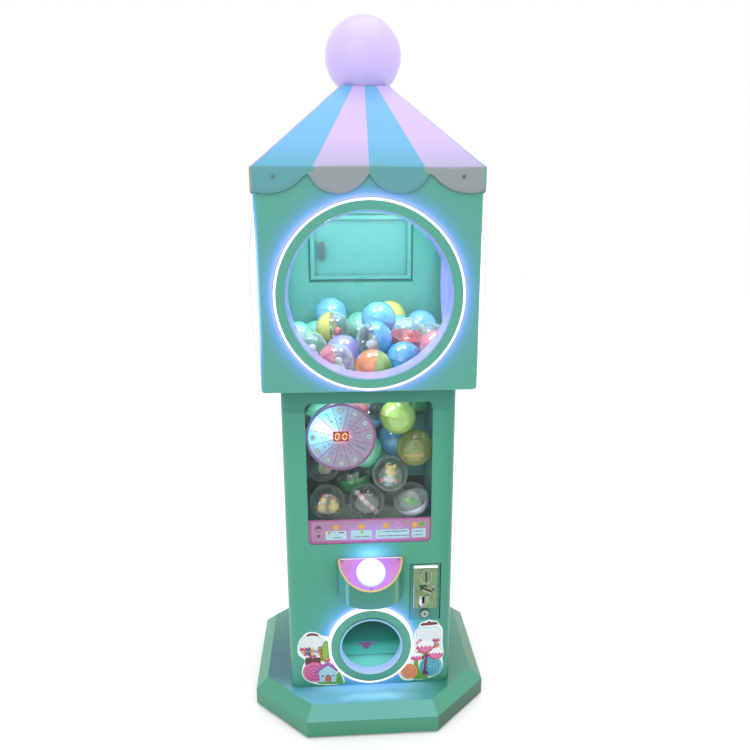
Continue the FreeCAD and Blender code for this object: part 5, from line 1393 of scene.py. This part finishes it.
def plate_trim():
    """Yellow edging round the D-shaped plate, with two small flat ears at the wall."""
    art = Print(PLATE_EDGE + SLOPE_OUT * PLATE_THICK, RIGHT, SLOPE_UP)
    edging = "yellow"
    half = HOOD_HIGH.x / MM
    curve = [(-half + 2.0, -0.6)] + circle(0, 0, half - 2.0, 90.0, 181.0, 178.0, 57) + [(half - 2.0, -0.6)]
    art.stroke(curve, 4.0, 0, edging, thick=0.0012)
    for side in (-1, 1):
        ear = sorted((side * (half - 0.3), side * (half - 7.0)))
        art.slab(rounded(*ear, -7.0, -0.8, 1.5), 0, edging, 0.0012)
    # Painted highlight: a white line along the plate's top edge at the wall.
    art.stroke([(-half + 8, -2.6), (half - 8, -2.6)], 2.4, 0, "white")
    art.finish("button_plate_trim", "plate_print")


use(plate_finish(), "button_plate")
use(dome_finish(), "button_dome")
use(collar_finish(), "button_body")
plate_trim()


# ---- coin unit ----------------------------------------------------------------------------------
COIN_LOW, COIN_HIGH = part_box("coin_faceplate")
PLATE_Y = -0.204


def faceplate_finish():
    """Polished nickel with the green cabinet's reflection painted on, a painted near-white highlight along
    its top lip, and a painted lilac reflection of the outlet's halo on its left edge, strongest low down.
    """
    cast = Shading("faceplate_nickel", Metallic=0.8)
    # Painted highlight along the top lip.
    lip = cast.remap(cast.axis("Z"), COIN_HIGH.z - 0.0075, COIN_HIGH.z - 0.0055)
    cloud = cast.remap(cast.noise(45.0, 4.0, 0.6), 0.35, 0.65)
    # Painted reflection of the green cabinet in the nickel.
    base = cast.mix(cloud, tint(104, 134, 92), tint(122, 148, 112))
    # Painted lilac reflection of the outlet's halo on the left edge.
    left = cast.remap(cast.axis("X"), COIN_LOW.x + 0.0006, COIN_LOW.x + 0.0024, 1.0, 0.0)
    left = cast.times(left, cast.remap(cast.axis("Z"), 0.36, 0.40, 1.0, 0.25))
    base = cast.mix(left, base, tint(150, 158, 226))
    cast.set("Base Color", cast.mix(lip, base, tint(235, 238, 235)))
    cast.shine(cast.mix(left, tint(235, 240, 238), tint(130, 140, 235)),
               cast.times(cast.most(lip, left), 0.45))
    cast.set("Roughness", cast.uneven(20.0, 3.0, 0.2, 0.34))
    cast.bump(cast.noise(300.0, 3.0, 0.6, cast.stretched((1, 1, 5))), 0.05, 0.0003)
    return cast.material


NICKEL = faceplate_finish()


def dome_head(shape, x, z, radius, rise):
    """Screw head on the faceplate, sunk a little into it; all in mm."""
    profile = [(0.0, -0.5), (radius, -0.5)]
    for i in range(4):
        angle = math.radians(90 * i / 4)
        profile.append((radius * math.cos(angle), rise * math.sin(angle)))
    profile.append((0.0, rise))
    lathe(shape, [(r * MM, h * MM) for r, h in profile], (x * MM, PLATE_Y, z * MM), FRONT, 20)


def bezel_finish():
    """Nickel bezel that catches the outlet's lilac light on its left."""
    rim = Shading("bezel_nickel", Metallic=0.7)
    left = rim.ease(rim.axis("X"), 0.1345, 0.1400, 1.0, 0.0)
    left = rim.times(left, rim.ease(rim.axis("Z"), 0.335, 0.350, 1.0, 0.2))
    cloud = rim.uneven(60.0, 3.0, spread=0.15)
    rim.set("Base Color", rim.mix(left, rim.mix(cloud, tint(126, 146, 118), tint(146, 162, 138)),
                                  tint(214, 190, 240)))
    rim.shine(tint(206, 180, 245), rim.times(left, 0.4))
    rim.set("Roughness", rim.remap(cloud, 0.0, 1.0, 0.18, 0.28))
    return rim.material


def coin_door_jamb():
    """Folded strip on the cabinet that closes the gap behind the coin door's hinge side."""
    shape = bmesh.new()
    corners = [(186.4, -192.2), (195.0, -192.2), (195.0, -197.4), (196.5, -197.4), (196.5, -190.7),
               (186.4, -190.7)]
    loops = [[shape.verts.new((x * MM, y * MM, z * MM)) for x, y in corners] for z in (279.5, 441.8)]
    bridge(shape, *loops)
    for loop in loops:
        shape.faces.new(loop)
    piece("coin_door_jamb", shape, [DOOR_PAINT])


def coin_details():
    """Label bar, lamp, screws, boss edge, lock face, jamb and the raised bezel round the return slot."""
    art = Print((0, PLATE_Y, 0))
    art.slab(rounded(130.5, 152.0, 377.8, 382.4, 0.8), 0, "label_and_slot_shade", 0.0008)
    art.slab(rounded(165.0, 170.6, 366.6, 372.6, 0.8), 0, "label_and_slot_shade", 0.0006)
    art.slab(rounded(166.4, 169.4, 374.6, 380.0, 0.8), 0, "lilac", 0.0006)
    art.stroke([(153.5, 377.0), (171.0, 356.0)], 1.6, 0, CHROME, thick=0.0012)
    art.stroke([(171.0, 356.0), (172.0, 340.0)], 1.2, 0, CHROME, thick=0.0009)
    for guard in ([(134.5, 377.2), (166.5, 377.2), (166.5, 363.2)],
                  [(134.5, 354.0), (166.5, 354.0), (134.5, 367.6)]):
        art.slab(guard, 0, NICKEL, 0.0004)
    art.finish("coin_labels", "chrome", "coin_door")
    shape = bmesh.new()
    for x, z, radius, rise in ((119.0, 430.0, 2.6, 1.6), (119.0, 319.5, 2.6, 1.6), (175.4, 430.0, 2.6, 1.6),
                               (175.4, 319.5, 2.6, 1.6), (163.5, 333.0, 1.8, 1.4), (162.8, 341.5, 1.8, 1.4)):
        dome_head(shape, x, z, radius, rise)
    piece("coin_plate_screws", shape, [CHROME], "coin_door", smooth=40)
    boss = Print((0, PLATE_Y, 0))
    boss.stroke(circle(148.7, 409.3, 14.9, 21.4, count=48), 1.4, 0, POLISHED, closed=True, thick=0.0038)
    boss.stroke(circle(148.7, 409.3, 4.4, 18.2, count=40), 1.6, 0, BOSS, closed=True, thick=0.0048)
    # Painted shade: a black slab stands for the dark coin slot in the boss.
    boss.slab(rounded(146.2, 151.2, 392.6, 426.0, 1.6), 0, "label_and_slot_shade", 0.0037)
    made = boss.finish("coin_boss_edge", "chrome", "coin_door")
    soften(made, 0.0004)
    lock = Print((0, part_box("coin_lock")[0].y, 0))
    lock.ring(146.7, 297.1, 9.0, 6.6, 0, POLISHED, thick=0.0008)
    lock.ring(146.7, 297.1, 5.0, 3.8, 0, POLISHED, thick=0.0006)
    # Painted shade: a black slab stands for the dark keyway.
    lock.slab(rounded(145.9, 147.5, 293.6, 300.6, 0.7), 0, "label_and_slot_shade", 0.0004)
    lock.finish("coin_lock_face", "chrome", "coin_door")
    coin_door_jamb()
    bezel = Print((0, PLATE_Y, 0))
    slot_left, slot_right, slot_low, top = 139.2, 145.2, 330.0, 353.5
    outline = [(131.0, top), (131.0, 330.0)]
    outline += circle(144.5, 330.0, 13.5, 12.6, 180.0, 180.0, 17)
    outline += [(158.0, top), (slot_right, top)]
    outline += circle((slot_left + slot_right) / 2, slot_low + 3.0, 3.0, 3.0, 0.0, -180.0, 9)
    outline += [(slot_left, top)]
    bezel.slab(outline, 0, bezel_finish(), 0.0026)
    soften(bezel.finish("coin_return_bezel", "chrome", "coin_door"), 0.0009, 3)


def soften(made, width, segments=2):
    """Rounded edges on a raised piece."""
    edge = made.modifiers.new("edge", "BEVEL")
    edge.width = width
    edge.segments = segments
    edge.limit_method = "ANGLE"
    edge.angle_limit = math.radians(50)
    made.data.shade_smooth()
    made.data.set_sharp_from_angle(angle=math.radians(40))


use(NICKEL, "coin_faceplate")
coin_details()


# ---- prize flap ---------------------------------------------------------------------------------
def flap_finish():
    """Mint flap: in the tube's shade above, lit from the tray below."""
    low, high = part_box("prize_flap")
    panel = Shading("flap_mint", Roughness=0.45, Specular_IOR_Level=0.2)
    height = panel.remap(panel.axis("Z"), low.z, low.z + 0.150)
    mottle = panel.uneven(9.0, 3.0, -0.02, 0.02)
    colour = panel.ramp(panel.plus(height, mottle),
                        [(0.0, tint(92, 186, 176)), (0.17, tint(76, 170, 158)), (0.3, tint(36, 122, 106)),
                         (0.55, tint(22, 96, 86)), (0.8, tint(4, 52, 48))])
    panel.set("Base Color", colour)
    panel.shine(colour, panel.remap(height, 0.0, 0.45, 0.3, 0.03))
    return panel.material


def tray_finish():
    """Bright mint chute, lit by the ring round the outlet."""
    sheet = Shading("tray_mint", Roughness=0.3, Coat_Weight=0.2)
    base = sheet.mix(sheet.uneven(12.0, 3.0, spread=0.15), tint(120, 205, 195), tint(132, 214, 205))
    sheet.set("Base Color", base)
    near = sheet.ease(sheet.distance((0.001, -0.185, 0.128), (0.5, 1, 1)), 0.03, 0.075, 1.0, 0.0)
    sheet.shine(tint(120, 230, 220), sheet.times(near, 0.4))
    return sheet.material


FLAP_FACE_Y = -0.1405     # front of the flap where it hangs at rest


def flap_arrow():
    """Plain arrow that points down to the tray, printed on the flap."""
    art = Print((0, FLAP_FACE_Y, 0))
    art.slab([(-38.0, 172.0), (20.0, 172.0), (-9.0, 146.5)], 0, "purple")
    art.slab([(-32.5, 170.0), (14.5, 170.0), (-9.0, 149.4)], 1, "teal")
    art.slab([(-24.5, 167.0), (6.5, 167.0), (-9.0, 153.4)], 2, "magenta")
    art.finish("flap_arrow", "plate_print", "prize_flap")


use(flap_finish(), "prize_flap")
use(tray_finish(), "prize_chute")
flap_arrow()


# ---- stickers beside the outlet -----------------------------------------------------------------
OUTLET_X = 1.0
OUTLET_Z = 208.1
CUT_R = 117.0             # stickers end here, just clear of the halo round the outlet
SWEETS = ["crimson", "yellow", "teal", "rose", "navy", "gold", "sky", "magenta", "pale", "orange"]


def round_outlet(start, end, count=7):
    """Points of a sticker's edge that follows the outlet's halo."""
    return circle(OUTLET_X, OUTLET_Z, CUT_R, start=start, sweep=end - start, count=count)


def sweets(art, x, z, wide, low, high, layer, size=4.6, inside=None):
    """Rows of small round sweets between two heights; inside says which places are in the jar."""
    number = 0
    row = 0
    level = low
    while level <= high:
        across = -wide + (row % 2) * size
        while across <= wide:
            spot = (x + across, level)
            if inside is None or inside(*spot):
                colour = SWEETS[(number * 7 + row * 3) % 10]
                art.disc(*spot, size, layer + number % 2, colour, 14)
                art.disc(spot[0] - 1.2, spot[1] + 1.4, 0.2 * size, layer + 3, "white", 8)
                number += 1
            across += 1.8 * size
        level += 1.45 * size
        row += 1


def lollipop(art, x, z, radius, layer, body, dark, turns=2.6, start=200.0):
    art.disc(x, z, radius, layer, dark, 48)
    art.disc(x, z, radius - 1.2, layer + 1, body, 48)
    art.stroke(spiral(x, z, 2.0, radius - 3.5, turns, start), 2.6, layer + 2, dark, 3.4)


def left_sticker(art):
    """Jar of sweets, tree, cottage and a pink swirl lollipop."""
    outline = [(-174, 249), (-158, 252), (-143, 248), (-134, 241), (-122, 237)]
    outline += round_outlet(167.5, 226.0)
    outline += [(-77, 112), (-72.5, 92), (-80, 85.5), (-110, 82.5), (-138, 84.5), (-158, 90), (-178, 101),
                (-189, 122), (-186, 147), (-179.5, 160), (-184, 170), (-197, 183), (-199, 206),
                (-193, 227), (-182, 241)]
    art.blob(outline, 0, "white")
    jar_x, jar_z, jar_r = -159.0, 206.6, 36.0
    art.slab(rounded(jar_x - 20, jar_x + 22, 150.0, 172.0, 3.0), 1, "brown")
    art.disc(jar_x, jar_z, jar_r, 2, "pale", 48)
    art.ring(jar_x, jar_z, jar_r, jar_r - 1.2, 3, "ice", 48)

    def in_jar(x, z):
        return math.hypot(x - jar_x, z - jar_z) < jar_r - 4.5
    sweets(art, jar_x, jar_z, 34.0, 176.0, 206.0, 3, 5.4, in_jar)
    art.blob([(-173, 238.5), (-171, 244.5), (-158, 248), (-144, 244), (-142, 238), (-158, 241)], 4,
             "maroon")
    art.stroke([(-137.5, 206), (-133.5, 160)], 7.0, 5, "brown", 6.0)
    for i in range(6):
        art.disc(-137.2 + 0.7 * i, 201.0 - 7.6 * i, 2.9, 6, "gold", 12)
    tree = [(-122, 223), (-128, 217), (-135, 196), (-136, 176), (-131, 160), (-119, 158), (-113.5, 176),
            (-114.5, 200), (-116.5, 218)]
    art.blob(tree, 5, "green")
    art.blob([(-122, 219), (-129, 200), (-131, 180), (-126, 166), (-119, 172), (-118, 200)], 6,
             "leaf")
    lollipop(art, -154.5, 127.0, 31.5, 5, "rose", "magenta")
    art.blob([(-95, 86.5), (-76.5, 88), (-80, 106), (-86.5, 123), (-94, 116), (-98, 98)], 7,
             "green")
    art.blob([(-148, 93.5), (-138, 88), (-110, 86.2), (-80, 88), (-84, 93), (-112, 95),
              (-138, 95.5)], 8, "green")
    art.slab([(-140.5, 94), (-142.5, 131), (-117.3, 150), (-93.5, 131), (-95.5, 94)], 9, "ice")
    art.stroke([(-150.5, 128.5), (-134, 142), (-117.3, 153.0), (-104, 142.5), (-90.5, 130.5)], 9.0, 10,
               "purple")
    art.stroke([(-149.0, 124.5), (-133, 137.5), (-117.3, 147.5), (-104.5, 138), (-92.0, 126.5)], 2.4, 11,
               "plum")
    door = circle(-117.3, 108.5, 7.6, 7.6, 0.0, 180.0, 13) + [(-124.9, 94.5), (-109.7, 94.5)]
    art.slab(door, 10, "plum")
    inner = circle(-117.3, 108.2, 5.6, 5.6, 0.0, 180.0, 13) + [(-122.9, 94.8), (-111.7, 94.8)]
    art.slab(inner, 11, "orange")
    for x in (-132.2, -103.4):
        art.ring(x, 113.0, 3.4, 2.2, 10, "plum", 16)
        art.disc(x, 113.0, 2.2, 10, "sky", 16)
    art.disc(-117.8, 163.5, 6.4, 11, "cherry", 24)
    art.disc(-120.0, 166.0, 1.6, 12, "white", 10)


def puff(art, x, z, wide, high, layer):
    """Cotton-candy cloud: pink below, white and dripping above."""
    art.slab(circle(x, z, wide, high), layer, "crimson")
    art.slab(circle(x, z + 0.8, wide - 2.5, high - 2.5), layer + 1, "rose")
    edge = circle(x, z + 0.3 * high, wide + 0.6, 0.78 * high, 0.0, 180.0, 15)
    drips = 4
    for i in range(2 * drips + 1):
        along = -wide + 2 * wide * i / (2 * drips)
        drop = 0.32 * high if i % 2 else -0.05 * high
        edge.append((x + 0.97 * along, z + 0.3 * high - drop))
    art.slab(edge, layer + 2, "white")


def right_sticker(art):
    """Tall jar, cotton-candy tree, blue swirl lollipop and a biscuit."""
    outline = [(151, 272), (160, 275.5), (169, 271.5), (181, 270), (187, 261), (195.5, 250), (198, 236),
               (198, 205), (199.5, 188), (202, 172), (198.5, 155), (200.5, 138), (199, 122), (189, 104),
               (172, 95), (150, 88.5), (131, 86.5), (121, 87.5), (108, 85.8), (94, 87.5), (84, 94.5),
               (79, 103)]
    outline += round_outlet(-50.0, 2.0)
    outline += [(119.5, 230), (122, 243), (131, 254), (135.5, 266)]
    art.blob(outline, 0, "white")
    art.slab(rounded(123.5, 193.5, 160.0, 253.0, 17.0), 1, "ice")
    art.slab(rounded(125.2, 191.8, 161.0, 251.2, 16.0), 2, "pale")

    def at_sides(x, z):
        return abs(x - 158.5) > 16.0 or z < 190.0
    sweets(art, 158.5, 200.0, 28.0, 172.0, 214.0, 3, 5.4, at_sides)
    lid = [(139, 257.5), (180, 259.5), (182, 263), (180, 267), (166, 267.5), (160, 271), (153, 266.5),
           (140.5, 264.5)]
    art.blob(lid, 4, "maroon")
    lollipop(art, 166.5, 129.0, 31.5, 5, "sky", "teal", 3.2)
    art.blob([(119, 90), (140, 89), (160, 92.5), (150, 104), (136, 118), (131, 140), (129.5, 160),
              (121, 158), (119, 130), (117, 104)], 7, "green")
    art.blob([(150, 160), (144, 150), (139, 160), (132, 166), (138, 168), (146, 172), (150, 178),
              (158, 168), (166, 162), (158, 158), (155.5, 140), (155, 118), (160, 104), (150, 104),
              (143.5, 103), (146, 120), (147, 140)], 8, "plum")
    art.blob([(134, 178), (140, 168), (146, 164), (149, 172), (142, 182)], 9, "leaf")
    puff(art, 126.5, 161.0, 17.0, 12.0, 9)
    puff(art, 180.0, 168.0, 19.5, 17.5, 9)
    puff(art, 151.5, 190.5, 23.5, 19.5, 10)
    lollipop(art, 107.2, 115.2, 23.5, 9, "peach", "orange", 2.4, 30.0)


for name, draw in (("left_sticker", left_sticker), ("right_sticker", right_sticker)):
    art = Print((0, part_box("column_shell")[0].y, 0))
    draw(art)
    art.finish(name, "plate_print")


# ---- camera, lights and floor -------------------------------------------------------------------
CAMERA_PLACE = (-0.08329, -1.77485, 1.35220)
CAMERA_YAW, CAMERA_PITCH, CAMERA_ROLL = (math.radians(angle) for angle in (3.5456, 13.8574, 0.181))
CAMERA_LENS = 31.7463


def put(name, data, place, direction=None, roll=0.0):
    """Object in the scene that looks in a direction, or doesn't turn if none is given."""
    made = bpy.data.objects.new(name, data)
    bpy.context.scene.collection.objects.link(made)
    made.location = place
    if direction:
        turn = direction.to_track_quat("-Z", "Y") @ Matrix.Rotation(roll, 3, "Z").to_quaternion()
        made.rotation_euler = turn.to_euler()
    return made


def camera():
    data = bpy.data.cameras.new("camera")
    data.sensor_width = 36.0
    data.lens = CAMERA_LENS
    data.clip_end = 60.0
    level = math.cos(CAMERA_PITCH)
    view = Vector((math.sin(CAMERA_YAW) * level, math.cos(CAMERA_YAW) * level, -math.sin(CAMERA_PITCH)))
    bpy.context.scene.camera = put("camera", data, CAMERA_PLACE, view, -CAMERA_ROLL)


def area_light(name, place, target, width, power):
    """Square soft light that faces a target."""
    data = bpy.data.lights.new(name, "AREA")
    data.shape = "RECTANGLE"
    data.size = width
    data.size_y = width
    data.energy = power
    put(name, data, place, Vector(target) - Vector(place))


def lamp(name, place, power, radius, colour):
    data = bpy.data.lights.new(name, "POINT")
    data.energy = power
    data.shadow_soft_size = radius
    data.color = colour
    put(name, data, place)


def studio():
    world = bpy.data.worlds.new("studio")
    bpy.context.scene.world = world
    world.use_nodes = True
    sky = world.node_tree.nodes["Background"]
    sky.inputs["Color"].default_value = (1.0, 1.0, 1.0, 1.0)
    sky.inputs["Strength"].default_value = 1.0
    area_light("key", (-1.6, -3.2, 2.8), (0, 0, 0.9), 2.4, 16)
    area_light("fill", (2.6, -2.4, 1.6), (0, 0, 0.9), 2.4, 2)
    area_light("back", (0.5, 3.2, 2.6), (0, 0, 0.9), 2.4, 16)
    area_light("top", (0.2, -0.6, 4.2), (0, -0.1, 0.5), 3.0, 31)
    bpy.context.scene.view_settings.view_transform = "Standard"


def floor():
    shape = bmesh.new()
    bmesh.ops.create_grid(shape, x_segments=8, y_segments=8, size=9.0)
    data = bpy.data.meshes.new("studio_floor")
    shape.to_mesh(data)
    made = put("studio_floor", data, (0, 0, 0))
    cover = Shading("studio_floor", Roughness=0.7)
    cover.set("Base Color", cover.ramp(cover.noise(1.5, 2.0), [(0.3, tint(252, 252, 252)),
                                                               (0.7, tint(254, 254, 254))]))
    cover.shine(tint(255, 255, 255), 0.1)
    data.materials.append(cover.material)


def inside_lights():
    """Lamps of the machine itself: under the head's ceiling and at the top of the column."""
    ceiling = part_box("roof_light_board")[0].z - 0.012
    for x, y in ((-0.11, -0.13), (0.1, -0.09)):
        lamp("head_lamp", (x, y, ceiling - 0.05), 1.5, 0.03, (0.92, 1.0, 1.0))
    for x in (-0.1, -0.03, 0.04):
        lamp("window_lamp", (x, -0.17, 0.905), 0.14, 0.012, (0.95, 1.0, 1.0))


camera()
studio()
floor()
inside_lights()
